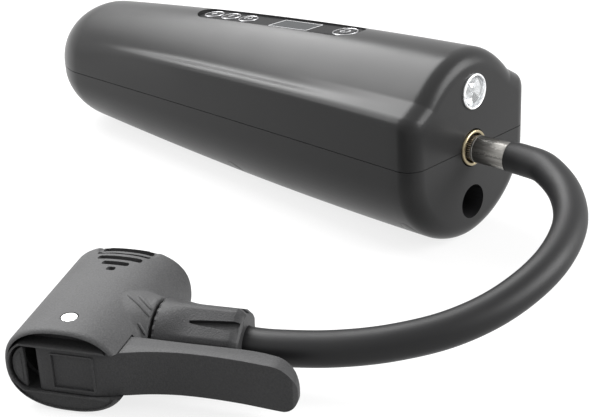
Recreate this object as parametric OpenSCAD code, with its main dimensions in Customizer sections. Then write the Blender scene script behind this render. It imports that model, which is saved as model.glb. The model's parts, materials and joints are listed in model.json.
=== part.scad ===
/* [Body] */
// Width of the body at the light end
body_w = 58; // [57:1:62]
// Length of the body, end face to rounded tip
body_len = 200; // [198:1:220]
// Height of the crown above the seam at the light end
crown_h = 30; // [29.5:0.5:33]
// Depth of the underside below the seam at the light end
belly_h = 30.1; // [30:0.1:33]
// Share of the width lost from the light end to the tip
width_taper = 0.25; // [0.2:0.01:0.26]
// Share of the height lost from the light end to the tip
height_taper = 0.263; // [0.22:0.001:0.27]
// Wall thickness of the two shells
wall = 2.2; // [1.6:0.1:2.4]
// Thickness of the flat end wall
end_wall = 2.4; // [1.8:0.1:3]
// Rounding of the edge round the end face
end_fillet = 5.9; // [4:0.1:6.5]
// Length of the rounded tip
cap_len = 28; // [24:1:32]
// Height of the upright side above the seam
side_up = 12.8; // [10:0.1:13.5]
// Height of the upright side below the seam
side_down = 5.1; // [4:0.1:8]
// Half width of the crown where it meets the shoulder
notch_x = 24; // [22.5:0.5:25]
// Height of the shoulder ledge above the seam
notch_z = 16.7; // [16:0.1:18]
// Outward bow of the crown along its length
crown_bow = 1.8; // [1:0.1:2.4]
// Outward bow of the underside along its length
belly_bow = 2.6; // [1.5:0.1:3]
// Depth of the flat strip that the body rests on
rest_cut = 0.8; // [0.5:0.1:1.2]

/* [Control panel] */
// Width of the glossy panel
panel_w = 12; // [11.5:0.5:13]
// Length of the glossy panel
panel_len = 76; // [74:1:80]
// Distance from the end face to the near end of the panel
panel_start = 43.5; // [43:0.5:46]
// Thickness of the panel
panel_t = 1.4; // [1:0.1:1.6]
// Radius of the power button
power_r = 3.8; // [3.2:0.1:4.2]
// Radius of each of the three small buttons
button_r = 3.1; // [2.6:0.1:3.3]
// Distance between the small buttons
button_pitch = 8.9; // [8.4:0.1:9.2]
// Length of the display window
display_len = 17.5; // [14:0.5:19]
// Width of the display window
display_w = 8.5; // [7:0.5:9]
// Travel of each button
button_travel = 0.5; // [0.3:0.1:0.6]

/* [Light, outlet and socket] */
// Height of the light above the outlet
light_up = 17.6; // [16.5:0.1:18.5]
// Outer radius of the bright ring round the light
light_r = 5.4; // [4.8:0.1:5.8]
// Depth of the charging socket below the outlet
socket_down = 17.5; // [16.5:0.1:18.2]
// Radius of the charging socket
socket_r = 5.35; // [4.8:0.05:5.5]
// Depth of the charging socket behind the end wall
socket_depth = 12; // [10.5:0.1:13]
// Outer radius of the brass outlet ring
outlet_r = 5.55; // [5.2:0.05:6]
// Radius of the bright sleeve on the hose
ferrule_r = 4.15; // [3.6:0.05:4.3]
// Distance from the end face to the hose end of the sleeve
ferrule_len = 13.3; // [11:0.1:14.5]
// Outer diameter of the hose
hose_d = 9.2; // [8:0.1:9.6]

/* [Pump] */
// Distance from the end face to the cylinder axis
pump_y = 30; // [30:0.5:31]
// Sideways place of the crank axis
crank_x = 11.5; // [11:0.5:12]
// Height of the crank axis above the seam
crank_z = 3.5; // [3:0.5:4]
// Throw of the crank, half the piston stroke
throw = 4; // [3:0.1:4.2]
// Distance between the two bores of the connecting rod
rod_len = 20.5; // [20:0.1:21]
// Bore radius of the cylinder
bore_r = 8.6; // [8.4:0.1:8.8]
// Wall thickness of the cylinder
cylinder_t = 1.5; // [1.2:0.1:1.7]
// Teeth on the crank gear
gear_teeth = 32; // [31:1:33]
// Teeth on the motor pinion
pinion_teeth = 12; // [11:1:13]
// Module of the gears
gear_mod = 0.75; // [0.72:0.01:0.77]
// Width of the gear teeth along the axis
gear_face = 6; // [5:0.5:6.5]
// Radius of the motor
motor_r = 12.2; // [11:0.1:12.4]
// Length of the motor
motor_len = 31; // [28:1:33]
// Thickness of the pump frame plate
frame_t = 4; // [3.5:0.5:5]

/* [Battery] */
// Radius of a battery cell with its sleeve
cell_r = 9.2; // [9:0.05:9.3]
// Length of a battery cell
cell_len = 65; // [63:0.5:65.5]
// Gap between neighbouring cells
cell_gap = 0.3; // [0.2:0.1:0.5]

/* [Air chuck] */
// Width of the chuck barrel
barrel_w = 31; // [30:0.5:34]
// Height of the chuck barrel
barrel_h = 23; // [22.5:0.5:26]
// Length of the chuck barrel
barrel_len = 45.8; // [44:0.1:50]
// Bore radius of the chuck barrel
chuck_bore_r = 8.6; // [8.2:0.1:8.8]
// Distance from the lever end to the branch axis
branch_x = 21.5; // [21.3:0.1:23]
// Radius of the branch collar
branch_r = 9.5; // [9.2:0.1:10]
// Distance from the barrel axis to the end of the hose nut
nut_end = 38.8; // [36:0.1:42]
// Height of the lever
lever_h = 12; // [10:0.5:12.5]
// Distance from the pivot to the tip of the lever
lever_len = 58.4; // [50:0.1:62]
// Radius of the lever pivot pin
pivot_r = 1.5; // [1.2:0.1:1.8]
// Travel of the plunger that squeezes the valve seal
plunger_travel = 2.2; // [1.6:0.1:2.4]
// Radius of the valve mouth
mouth_r = 4.3; // [4:0.1:4.6]

/* [Fasteners] */
// Thread radius of the case screws
screw_r = 1.3; // [1.1:0.1:1.5]
// Head radius of the case screws
screw_head_r = 2.4; // [2.2:0.1:2.6]

/* [Hidden] */
$fn = 48;

black = "#2b2b2c";
dark_grey = "#4a4b4d";
mid_grey = "#77787a";
steel = "#b9bcc0";
brass = "#c2a35a";

// A shape that stays clear of its neighbour, and one that must cut right through.
slack = 0.3;
cut = 1;
run_gap = 0.05;

// ---- Body outline -------------------------------------------------------------------------
half_w = body_w/2;
crown_power = 2.2;
belly_power = 1.86;
cap_power = 1.78;
ledge = 0.45;
ledge_drop = 0.5;
side_bow = 0.5;
shoulder_steps = 3;
curve_steps = 9;
fillet_steps = 4;
straight_steps = 12;
cap_steps = 9;

function share(y) = min(max((y - end_fillet)/(body_len - cap_len - end_fillet), 0), 1);
function bow(y) = 4*share(y)*(1 - share(y));
function x_scale(y) = (1 - width_taper*y/body_len)*(1 - side_bow*bow(y)/half_w);
function z_scale(y, h, b) = (1 - height_taper*y/body_len)*(1 + b*bow(y)/h);
function crown_at(x, y) = let (sx = x/x_scale(y))
    (notch_z + (crown_h - notch_z)*(1 - pow(min(abs(sx)/notch_x, 1), crown_power)))
    *z_scale(y, crown_h, crown_bow);
function belly_at(x, y) = let (sx = min(abs(x)/x_scale(y)/half_w, 1))
    (side_down + (belly_h - side_down)*pow(1 - pow(sx, belly_power), 1/belly_power))
    *z_scale(y, belly_h, belly_bow);

// Half sections in the seam's own plane, inset by t, from the +X edge round to the -X edge.
function upper_half(t) = [
    [half_w - t, side_up],
    for (i = [1:shoulder_steps]) let (a = 90*i/shoulder_steps, r = half_w - notch_x)
        [notch_x - t + r*(1 - ledge) + r*ledge*cos(a),
         side_up + (notch_z - ledge_drop - t - side_up)*sin(a)],
    for (i = [0:curve_steps]) let (x = (notch_x - t)*(1 - i/curve_steps))
        [x, notch_z - t + (crown_h - notch_z)*(1 - pow(x/(notch_x - t), crown_power))]];
function lower_half(t) = [
    [half_w - t, -side_down],
    for (i = [1:curve_steps]) let (a = 90*i/curve_steps)
        [(half_w - t)*pow(cos(a), 2/belly_power),
         -side_down - (belly_h - t - side_down)*pow(sin(a), 2/belly_power)]];
function mirrored(p) = concat(p, [for (i = [len(p) - 2:-1:0]) [-p[i][0], p[i][1]]]);
function closed_upper(t, dip) = let (p = concat([[half_w - t, -dip]], mirrored(upper_half(t)), [[t - half_w, -dip]]))
    [for (i = [len(p) - 1:-1:0]) p[i]];
function closed_lower(t, dip) = concat([[half_w - t, dip]], mirrored(lower_half(t)), [[t - half_w, dip]]);

// Stations along the body: [y, scale of the section].
function near_stations(t, y0) = let (r = end_fillet - t)
    [for (i = [0:fillet_steps]) let (a = 90*i/fillet_steps) [y0 + r*(1 - cos(a)), 1 - r*(1 - sin(a))/(half_w - t)]];
function straight_stations(t, y0) = let (a = y0 + end_fillet - t, b = body_len - cap_len)
    [for (i = [1:straight_steps]) [a + (b - a)*i/straight_steps, 1]];
function cap_stations(t) = [for (i = [1:cap_steps]) let (v = sin(85*i/cap_steps))
    [body_len - cap_len + (cap_len - t)*v, pow(1 - pow(v, cap_power), 1/cap_power)]];
function stations(t, y0) = concat(near_stations(t, y0), straight_stations(t, y0), cap_stations(t));
function body_rings(section, t, y0, h, b) = [for (s = stations(t, y0))
    [for (p = section) [p[0]*s[1]*x_scale(s[0]), s[0], p[1]*(abs(p[1]) > cut ? s[1] : 1)*z_scale(s[0], h, b)]]];

// A solid through rings of equal length, each counterclockwise seen from the last ring's side. Strips across the first and the last ring close its ends.
module loft(rings) {
    n = len(rings[0]);
    m = len(rings);
    points = [for (r = rings) each r];
    sides = [for (i = [0:m - 2]) for (j = [0:n - 1]) let (k = (j + 1)%n, a = i*n, b = (i + 1)*n)
        each [[a + j, b + j, a + k], [a + k, b + j, b + k]]];
    ends = [for (j = [0:floor((n - 1)/2) - 1]) let (a = j, b = j + 1, c = n - 2 - j, d = n - 1 - j)
        each b == c ? [[a, b, d]] : [[a, b, d], [b, c, d]]];
    far = (m - 1)*n;
    polyhedron(points, concat(ends, sides, [for (f = ends) [f[2] + far, f[1] + far, f[0] + far]]), convexity = 6);
}

// ---- Where the body rests ----------------------------------------------------------------
rest_tilt = atan(height_taper*crown_h/body_len);
rest_y = 0.44*body_len;
floor_gap = max([for (i = [0:40]) let (y = body_len*i/40) belly_at(0, min(y, body_len - cap_len))
    + min(y, body_len - cap_len)*tan(rest_tilt)]) - rest_cut;
rest_point = [0, rest_y, rest_y*tan(rest_tilt) - floor_gap];

function seated(p) = let (q = p - rest_point)
    [q[0], q[1]*cos(rest_tilt) + q[2]*sin(rest_tilt), q[2]*cos(rest_tilt) - q[1]*sin(rest_tilt)];
module on_rest() {
    rotate([-rest_tilt, 0, 0]) translate(-rest_point) children();
}

// ---- Control panel ------------------------------------------------------------------------
panel_mid = panel_start + panel_len/2;
panel_sink = 0.2;
panel_far = panel_start + panel_len;
panel_slope = atan((crown_at(panel_w/2, panel_start) - crown_at(panel_w/2, panel_far))/panel_len);
panel_z = (crown_at(panel_w/2, panel_start) + crown_at(panel_w/2, panel_far))/2 - panel_sink;
seat_t = 3;
seat_w = panel_w + 4;
flange_t = 0.8;
flange_lip = 0.8;
board_top = 6.6;
board_t = 1.2;
board_w = 24;
board_over = 1;
power_y = panel_start + 6.8;
display_y = panel_start + 28.5;
buttons_y = panel_start + 52.3;
button_proud = 0.3;
post_r = 2;
post_x = board_w/2 - post_r - 0.4;
board_start = panel_start + board_over;
board_len = panel_len - 2*board_over;
post_ys = [board_start + post_r + 1, board_start + board_len - post_r - 1];
module on_panel() {
    translate([0, panel_mid, panel_z]) rotate([-panel_slope, 0, 0]) translate([0, -panel_mid, 0]) children();
}
module panel_shape(grow, h) {
    r = panel_w/2 + grow;
    linear_extrude(h) {
        translate([0, panel_start + panel_w/2]) circle(r);
        translate([0, panel_far - panel_w/2]) circle(r);
        translate([-r, panel_start + panel_w/2]) square([2*r, panel_len - panel_w]);
    }
}
button_places = [[power_y, power_r], for (i = [0:2]) [buttons_y + i*button_pitch, button_r]];

// ---- Pump and motor ------------------------------------------------------------------------
pitch_r = gear_mod*gear_teeth/2;
pinion_pitch_r = gear_mod*pinion_teeth/2;
mesh_gap = 0.12;
gear_distance = pitch_r + pinion_pitch_r + mesh_gap;
motor_side = 6;
motor_x = crank_x - motor_side;
motor_z = crank_z - sqrt(pow(gear_distance, 2) - pow(motor_side, 2));
rod_t = 4;
rod_big_r = 4.5;
rod_small_r = 2.6;
crank_pin_r = 2;
wrist_r = 1.25;
wrist_len = 8.6;
pin_shoulder = 3;
gear_y = pump_y + rod_t/2 + pin_shoulder + 0.2;
plate_y = gear_y + gear_face + 2;
motor_y = plate_y + frame_t;
crank_shaft_r = 3;
wrist_x = crank_x + throw - rod_len;
piston_skirt = 3;
piston_crown = 6;
crown_t = 1.9;
piston_r = bore_r - run_gap;
skirt_r = piston_r - 1.45;
head_gap = 0.5;
cylinder_in = wrist_x - 2*throw - piston_crown - head_gap;
cylinder_out = wrist_x + piston_skirt - 1;
head_t = 2.5;
chamber_r = 6.5;
chamber_len = 2.5;
cylinder_outer = bore_r + cylinder_t;
foot_gap = 7;
plate_low = foot_gap - belly_h;
plate_high = 12;
foot_w = 14;
motor_screw_r = 1.3;
motor_screw_off = 8;
screw_land = 2.8;
saddle_down = 7;
saddle_up = 6;
saddle_gap = 4;
plate_left = 12;
plate_right = 8;
bush_r = 4.2;
boss_tip_r = 3;

// ---- Screws that close the case ------------------------------------------------------------
boss_r = 3;
mid_screw_y = motor_y + motor_len + 10;
screw_len = 14;
screw_cap = 2;
case_screw_places = [[half_w - 9, 8.5], [9 - half_w, 8.5], [17.5, mid_screw_y], [-17.5, mid_screw_y],
    [0, body_len - cap_len + 10]];
head_seat = 7;

// ---- Battery ------------------------------------------------------------------------------
pack_start = mid_screw_y + 8;
pack_end = pack_start + cell_len;
cell_step = 2*cell_r + cell_gap;
cell_low = -8.4;
cell_high = cell_low + cell_step*sin(60);
cell_places = [[-cell_step/2, cell_low], [cell_step/2, cell_low], [0, cell_high]];
holder_t = 1.2;
holder_r = cell_r + 0.2;
bar_w = 3;
holder_half = cell_step/2 + bar_w/2;
holder_low = cell_low - holder_r - 0.6;
strap_t = 0.2;
window_r = 5;
strap_half = 3;
strap_slack = 0.5;

// ---- Gear teeth -----------------------------------------------------------------------------
// One tooth flank is a line from the root to the tip that leans as the pressure angle asks.
tooth_up = 0.8;
tooth_down = 1.15;
tooth_half = 0.21;
tooth_lean = 0.11;
function gear_points(teeth, m) = let (r = m*teeth/2, w = 360/teeth)
    [for (i = [0:teeth - 1]) for (s = [[-1, 0], [-1, 1], [1, 1], [1, 0]])
        let (rr = s[1] == 1 ? r + tooth_up*m : r - tooth_down*m,
             h = s[1] == 1 ? tooth_half - tooth_lean : tooth_half + tooth_lean,
             a = w*(i + s[0]*h))
        [rr*cos(a), rr*sin(a)]];

// ---- Hose ----------------------------------------------------------------------------------
chuck_pos = [-138.7, -69.8];
chuck_turn = 30;
function from_chuck(p) = [chuck_pos[0] + p[0]*cos(chuck_turn) - p[1]*sin(chuck_turn),
    chuck_pos[1] + p[0]*sin(chuck_turn) + p[1]*cos(chuck_turn), p[2] + barrel_h/2];
module on_chuck() {
    translate([chuck_pos[0], chuck_pos[1], barrel_h/2]) rotate([0, 0, chuck_turn]) children();
}
hose_route = [seated([0, -ferrule_len, 0]), seated([0, -ferrule_len - 5, 0]), [-1, -113, 32], [-8, -124, 30],
    [-20, -133, 27.5], [-36, -137.5, 24], [-52, -136, 19.5], [-66, -130.5, 16], [-78, -121.5, 13.5],
    [-88, -111, 12], from_chuck([branch_x, -nut_end - 8, 0]), from_chuck([branch_x, -nut_end, 0])];
hose_sides = 12;
hose_steps = 2;
function unit(v) = v/norm(v);
function curve_point(p, i, t) = let (
    a = p[max(i - 1, 0)], b = p[i], c = p[i + 1], d = p[min(i + 2, len(p) - 1)])
    0.5*(2*b + (c - a)*t + (2*a - 5*b + 4*c - d)*t*t + (3*b - a - 3*c + d)*t*t*t);
function smooth(p, steps) = [for (i = [0:len(p) - 2]) for (k = [0:steps - 1]) curve_point(p, i, k/steps), p[len(p) - 1]];
function tube_rings(p, r, sides, first, last) = [for (i = [0:len(p) - 1]) let (
    along = i == 0 ? first : i == len(p) - 1 ? last : unit(p[i + 1] - p[i - 1]),
    across = unit(cross(along, [0, 0, 1])),
    up = cross(across, along))
    [for (j = [0:sides - 1]) let (a = 360*j/sides) p[i] + r*(cos(a)*across - sin(a)*up)]];

// ---- Chuck ---------------------------------------------------------------------------------
barrel_power = 2.4;
barrel_sides = 56;
barrel_round = 1.4;
barrel_flare = 0.06;
pivot_x = 7;
slot_gap = 0.25;
hub_front = 0.6;
hub_side = 7.2;
cam_min = hub_side - plunger_travel;
sweep_r = norm([pivot_x - hub_front, hub_side]) + 0.4;
chuck_wall = 2;
nut_gap = 1.2;
nut_start = barrel_w/2 + nut_gap + 0.1;
nut_r = branch_r;
barb_r = 3;
pin_head_r = 2.25;
pin_head_t = 0.8;
plunger_start = pivot_x + cam_min + slack;
seal_start = 34.8;
cap_start = barrel_len - 5;
plunger_end = seal_start - plunger_travel - 0.1;
plunger_r = chuck_bore_r - run_gap;
plug_h = 3.3;
plug_in = barrel_w/2 - chuck_wall - plug_h;
arm_in = 3;
vent_pitch = 3;
vent_w = 1.5;
vent_lengths = [15, 15, 13, 8, 2.5];
vent_end = 1.8;
recess_len = 15.5;
recess_w = 17;
recess_t = 0.5;
function oval(w, h, sides) = [for (i = [0:sides - 1]) let (a = 360*i/sides, c = cos(a), s = sin(a))
    [w/2*sign(c)*pow(abs(c), 2/barrel_power), h/2*sign(s)*pow(abs(s), 2/barrel_power)]];
function barrel_ring(x, inset) = let (f = 1 + barrel_flare*x/barrel_len)
    [for (p = oval(barrel_w*f - 2*inset, barrel_h - 2*inset, barrel_sides)) [x, p[0], p[1]]];
lever_front = [[hub_front, hub_side], [hub_front, -8], [2.3, -14], [4.2, -20.5], [5.3, -27.5], [5.5, -35],
    [5.1, -43], [4.2, -50]];
lever_back = [[10, -44], [10, -12], [9.2, -6]];

// ---- Helpers -------------------------------------------------------------------------------
// A cylinder from one point along +Y, +X or +Z by length l.
module rod_y(p, r, l) {
    translate(p) rotate([-90, 0, 0]) cylinder(r = r, h = l);
}
module rod_x(p, r, l) {
    translate(p) rotate([0, 90, 0]) cylinder(r = r, h = l);
}
module rod_z(p, r, l) {
    translate(p) cylinder(r = r, h = l);
}
// A turned piece on the Y axis: profile points are [radius, distance along +Y].
module turned_y(p, profile) {
    translate(p) rotate([-90, 0, 0]) rotate_extrude() polygon(profile);
}
module turned_x(p, profile) {
    translate(p) rotate([0, 90, 0]) rotate_extrude() polygon(profile);
}
module box(low, high) {
    translate(low) cube(high - low);
}
module ring_x(p, r, t) {
    translate(p) rotate([0, 90, 0]) rotate_extrude() translate([r, 0]) circle(t);
}

// ---- Shells --------------------------------------------------------------------------------
light_hole = light_r - 0.45;
bushing_r = outlet_r - 0.5;
module outlet_hole() {
    rod_y([0, -cut, 0], bushing_r + run_gap, end_wall + 2*cut);
}
module upper_shell() {
    color(dark_grey) on_rest() difference() {
        loft(body_rings(closed_upper(0, 0), 0, 0, crown_h, crown_bow));
        difference() {
            loft(body_rings(closed_upper(wall, cut), wall, end_wall, crown_h, crown_bow));
            on_panel() box([-seat_w/2, panel_start - 2, -seat_t], [seat_w/2, panel_far + 2, wall]);
            for (p = case_screw_places) rod_z([p[0], p[1], -2*cut], boss_r, crown_h);
            on_panel() for (x = [-post_x, post_x], y = post_ys) rod_z([x, y, -board_top], post_r, board_top);
        }
        outlet_hole();
        rod_y([0, -cut, light_up], light_hole + run_gap, end_wall + 2*cut);
        on_panel() translate([0, 0, -panel_t]) panel_shape(0.05, panel_t + 4);
        on_panel() for (b = button_places) rod_z([0, b[0], -seat_t - cut], b[1] + 0.15, seat_t + cut);
        on_panel() box([-display_w/2, display_y - display_len/2, -seat_t - cut],
            [display_w/2, display_y + display_len/2, 0]);
        for (p = case_screw_places) rod_z([p[0], p[1], -cut], screw_r, screw_len - head_seat + 2*cut);
    }
}

module lower_shell() {
    color(dark_grey) on_rest() difference() {
        loft(body_rings(closed_lower(0, 0), 0, 0, belly_h, belly_bow));
        difference() {
            loft(body_rings(closed_lower(wall, cut), wall, end_wall, belly_h, belly_bow));
            for (p = case_screw_places) rod_z([p[0], p[1], -belly_h], boss_r + 0.8, belly_h);
            for (y = [pack_start - holder_t, pack_end])
                box([-holder_half, y, -belly_h], [holder_half, y + holder_t, holder_low]);
            box([motor_x - foot_w/2 - 2, plate_y, -belly_h - 1], [motor_x + foot_w/2 + 2, plate_y + frame_t, plate_low]);
        }
        outlet_hole();
        rod_y([0, -cut, -socket_down], socket_r + 0.15, end_wall + 2*cut);
        for (p = case_screw_places) {
            rod_z([p[0], p[1], -head_seat - cut], screw_r + 0.2, head_seat + 2*cut);
            rod_z([p[0], p[1], -belly_h - 3], screw_head_r + 0.3, belly_h + 3 - head_seat);
        }
        rotate([rest_tilt, 0, 0]) translate([-half_w, -cut, -floor_gap*cos(rest_tilt) - 10])
            cube([body_w, body_len + 2*cut, 10]);
    }
}

module case_screws() {
    color(steel) on_rest() for (p = case_screw_places) {
        rod_z([p[0], p[1], -head_seat], screw_r - 0.02, screw_len - 0.5);
        difference() {
            rod_z([p[0], p[1], -head_seat - screw_cap], screw_head_r, screw_cap);
            for (a = [0, 90]) translate([p[0], p[1], -head_seat - screw_cap]) rotate([0, 0, a])
                cube([2.6, 0.6, 1.6], center = true);
        }
    }
}

// ---- Controls ------------------------------------------------------------------------------
module control_panel() {
    color(black) on_rest() on_panel() difference() {
        translate([0, 0, -panel_t]) panel_shape(0, panel_t);
        for (b = button_places) rod_z([0, b[0], -panel_t - cut], b[1] + 0.1, panel_t + 2*cut);
        box([-display_w/2, display_y - display_len/2, -panel_t - cut],
            [display_w/2, display_y + display_len/2, cut]);
    }
}
module display_window() {
    color("#39424a") on_rest() on_panel() box([-display_w/2, display_y - display_len/2, -panel_t],
        [display_w/2, display_y + display_len/2, -0.05]);
}
module display_module() {
    color("#8d9a94") on_rest() on_panel() {
        box([-display_w/2 - 1.5, display_y - display_len/2 - 2, -board_top],
            [display_w/2 + 1.5, display_y + display_len/2 + 2, -seat_t - 0.1]);
        box([-display_w/2 + 0.1, display_y - display_len/2 + 0.1, -seat_t - 0.1],
            [display_w/2 - 0.1, display_y + display_len/2 - 0.1, -panel_t - 0.05]);
    }
}
module button(b) {
    color(black) on_rest() on_panel() {
        rod_z([0, b[0], -seat_t - 0.1], b[1], seat_t + 0.1 + button_proud);
        rod_z([0, b[0], -seat_t - 0.1 - flange_t], b[1] + flange_lip, flange_t);
    }
}
module power_button() {
    button(button_places[0]);
}
module small_button_1() {
    button(button_places[1]);
}
module small_button_2() {
    button(button_places[2]);
}
module small_button_3() {
    button(button_places[3]);
}
module main_board() {
    color("#1f5a3a") on_rest() on_panel()
        box([-board_w/2, board_start, -board_top - board_t],
            [board_w/2, board_start + board_len, -board_top]);
}
module button_switches() {
    color(steel) on_rest() on_panel() for (b = button_places) {
        box([-2.6, b[0] - 2.6, -board_top], [2.6, b[0] + 2.6, -board_top + 1.5]);
        rod_z([0, b[0], -board_top + 1.5], 1.5, board_top - 1.5 - seat_t - 0.1 - flange_t - button_travel - 0.1);
    }
}
module pressure_sensor() {
    color("#d8d8d2") on_rest() on_panel() {
        box([-9, panel_start + 14, -board_top - board_t - 3], [-2, panel_start + 21, -board_top - board_t]);
        rod_z([-5.5, panel_start + 17.5, -board_top - board_t - 5.5], 1.2, 2.5);
    }
}

// ---- Light ---------------------------------------------------------------------------------
lens_r = light_r - 1.3;
cup_len = 6;
module light_bezel() {
    color(steel) on_rest() turned_y([0, 0, light_up], [[lens_r, -0.4], [light_r, -0.4], [light_r, 0],
        [light_hole, 0], [light_hole, end_wall + 0.8], [lens_r, end_wall + 0.8]]);
}
module light_lens() {
    color("#dfe6ea") on_rest() turned_y([0, 0, light_up],
        [[0, -0.5], [lens_r*0.6, -0.3], [lens_r, 0], [lens_r, 1.2], [0, 1.2]]);
}
module light_reflector() {
    color("#e8e8e8") on_rest() turned_y([0, 0, light_up], [[lens_r - 0.5, 1.2], [lens_r, 1.2],
        [lens_r, end_wall + 0.8], [2.3, 1.2 + cup_len], [1.6, 1.2 + cup_len]]);
}
module light_board() {
    color("#e6dfa8") on_rest() {
        rod_y([0, 1.2 + cup_len, light_up], 4.6, 1.2);
        rod_y([0, 0.3 + cup_len, light_up], 1.2, 0.9);
    }
}

// ---- Outlet, hose and socket ----------------------------------------------------------------
ring_wall = 1;
bushing_bore = outlet_r - ring_wall;
bushing_deep = 5.5;
barb_tip = 10;
module outlet_bushing() {
    color(brass) on_rest() difference() {
        union() {
            rod_y([0, -0.7, 0], outlet_r, 0.7);
            rod_y([0, 0, 0], bushing_r, bushing_deep + 1);
            rod_y([0, bushing_deep + 1, 0], 2, barb_tip - bushing_deep - 1);
        }
        rod_y([0, -cut, 0], bushing_bore, bushing_deep + cut);
        rod_y([0, 0, 0], 1, barb_tip + cut);
    }
}
module outlet_seal() {
    color(black) on_rest() translate([0, bushing_deep - 0.6, 0]) rotate([-90, 0, 0])
        rotate_extrude() translate([bushing_bore - 1.2, 0]) circle(0.6);
}
module hose_ferrule() {
    color(steel) on_rest() difference() {
        union() {
            rod_y([0, -ferrule_len, 0], ferrule_r, ferrule_len - 1.5);
            rod_y([0, -1.5, 0], bushing_bore - 0.05, 1.5 + bushing_deep - 1.25);
        }
        rod_y([0, -ferrule_len - cut, 0], 1.5, ferrule_len + bushing_deep + 2*cut);
    }
}
module air_hose() {
    color(black) loft(tube_rings(smooth(hose_route, hose_steps), hose_d/2, hose_sides,
        seated([0, -1, 0]) - seated([0, 0, 0]), from_chuck([0, 1, 0]) - from_chuck([0, 0, 0])));
}
socket_back = 2;
socket_recess = 6;
jack_r = 2.75;
pin_r = 1.05;
socket_wall = 1.2;
module charging_socket() {
    color(black) on_rest() difference() {
        rod_y([0, end_wall, -socket_down], socket_r + socket_wall, socket_depth + socket_back);
        rod_y([0, end_wall - cut, -socket_down], socket_r, socket_recess + cut);
        rod_y([0, end_wall, -socket_down], jack_r, socket_depth);
    }
}
module socket_pin() {
    color(steel) on_rest() rod_y([0, end_wall + socket_recess + 0.5, -socket_down], pin_r,
        socket_depth - socket_recess - 0.5);
}

// ---- Motor, gears and pump -------------------------------------------------------------------
motor_axis = [motor_x, 0, motor_z];
crank_axis = [crank_x, 0, crank_z];
module pump_frame() {
    color(mid_grey) on_rest() difference() {
        union() {
            box([wrist_x - plate_left, plate_y, motor_z], [crank_x + plate_right, plate_y + frame_t, plate_high]);
            rod_y(motor_axis + [0, plate_y, 0], motor_screw_off + screw_land, frame_t);
            box([motor_x - foot_w/2, plate_y, plate_low], [motor_x + foot_w/2, plate_y + frame_t, motor_z]);
            box([cylinder_in + 1, pump_y + saddle_gap, crank_z - saddle_down],
                [cylinder_out - 1, plate_y, crank_z + saddle_up]);
        }
        rod_x([cylinder_in, pump_y, crank_z], cylinder_outer, cylinder_out - cylinder_in);
        rod_y(crank_axis + [0, plate_y - cut, 0], bush_r, frame_t + 2*cut);
        rod_y(motor_axis + [0, plate_y - cut, 0], boss_tip_r + 0.1, frame_t + 2*cut);
        for (s = [-1, 1]) rod_y(motor_axis + [s*motor_screw_off, plate_y - cut, 0], motor_screw_r + 0.1, frame_t + 2*cut);
    }
}
motor_screw_in = 2;
module frame_screws() {
    color(steel) on_rest() for (s = [-1, 1]) {
        rod_y(motor_axis + [s*motor_screw_off, plate_y, 0], motor_screw_r, frame_t + motor_screw_in);
        rod_y(motor_axis + [s*motor_screw_off, plate_y - 1.2, 0], 2, 1.2);
    }
}
can_t = 1;
shaft_r = 1;
module motor_can() {
    color(steel) on_rest() difference() {
        union() {
            rod_y(motor_axis + [0, motor_y, 0], motor_r, motor_len);
            rod_y(motor_axis + [0, motor_y - 2, 0], boss_tip_r, 2);
        }
        rod_y(motor_axis + [0, motor_y + motor_screw_in + 0.5, 0], motor_r - can_t, motor_len);
        rod_y(motor_axis + [0, motor_y - 2 - cut, 0], shaft_r + run_gap, motor_len);
        for (s = [-1, 1])
            rod_y(motor_axis + [s*motor_screw_off, motor_y - cut, 0], motor_screw_r, motor_screw_in + 2*cut);
    }
}
module motor_end_cap() {
    color(black) on_rest() difference() {
        union() {
            rod_y(motor_axis + [0, motor_y + motor_len, 0], motor_r - 0.5, 2);
            rod_y(motor_axis + [0, motor_y + motor_len - 3, 0], motor_r - can_t - 0.05, 3);
            for (s = [-1, 1]) translate(motor_axis + [s*6, motor_y + motor_len + 2, 0]) translate([-0.3, 0, -1.2])
                cube([0.6, 3, 2.4]);
        }
        rod_y(motor_axis + [0, motor_y + motor_len - 3 - cut, 0], shaft_r + run_gap, 3 + cut);
    }
}
module motor_shaft() {
    color(steel) on_rest() {
        rod_y(motor_axis + [0, gear_y - 0.5, 0], shaft_r, motor_y - gear_y + motor_len - 0.2);
        rod_y(motor_axis + [0, motor_y + 5, 0], motor_r - can_t - 1.5, motor_len - 11);
    }
}
// A gap of the pinion faces a tooth of the crank gear on the line between the two axes.
mesh_turn = atan2(motor_z - crank_z, motor_x - crank_x);
module gear(axis, teeth, turn, face) {
    translate(axis + [0, gear_y, 0]) rotate([90, 0, 0]) rotate([0, 0, turn]) translate([0, 0, -face])
        linear_extrude(face) polygon(gear_points(teeth, gear_mod));
}
crank_phase = mesh_turn;
pinion_phase = mesh_turn + 180 + 180/pinion_teeth;
module pinion() {
    color(brass) on_rest() difference() {
        gear(motor_axis, pinion_teeth, pinion_phase, gear_face);
        rod_y(motor_axis + [0, gear_y - cut, 0], shaft_r, gear_face + 2*cut);
    }
}
module crank_gear() {
    color("#d9d5c8") on_rest() difference() {
        gear(crank_axis, gear_teeth, crank_phase, gear_face);
        rod_y(crank_axis + [0, gear_y - cut, 0], crank_shaft_r, gear_face + 2*cut);
        rod_y(crank_axis + [throw, gear_y - cut, 0], crank_pin_r, gear_face + 2*cut);
        rod_y(crank_axis + [-throw - 2.5, gear_y - cut, 0], 2.4, gear_face + 2*cut);
    }
}
module crank_shaft() {
    color(steel) on_rest() difference() {
        rod_y(crank_axis + [0, gear_y + 0.5, 0], crank_shaft_r, motor_y - gear_y + 1.5);
        rod_y(crank_axis + [throw, gear_y - cut, 0], crank_pin_r, gear_face + cut + 0.05);
    }
}
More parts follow.
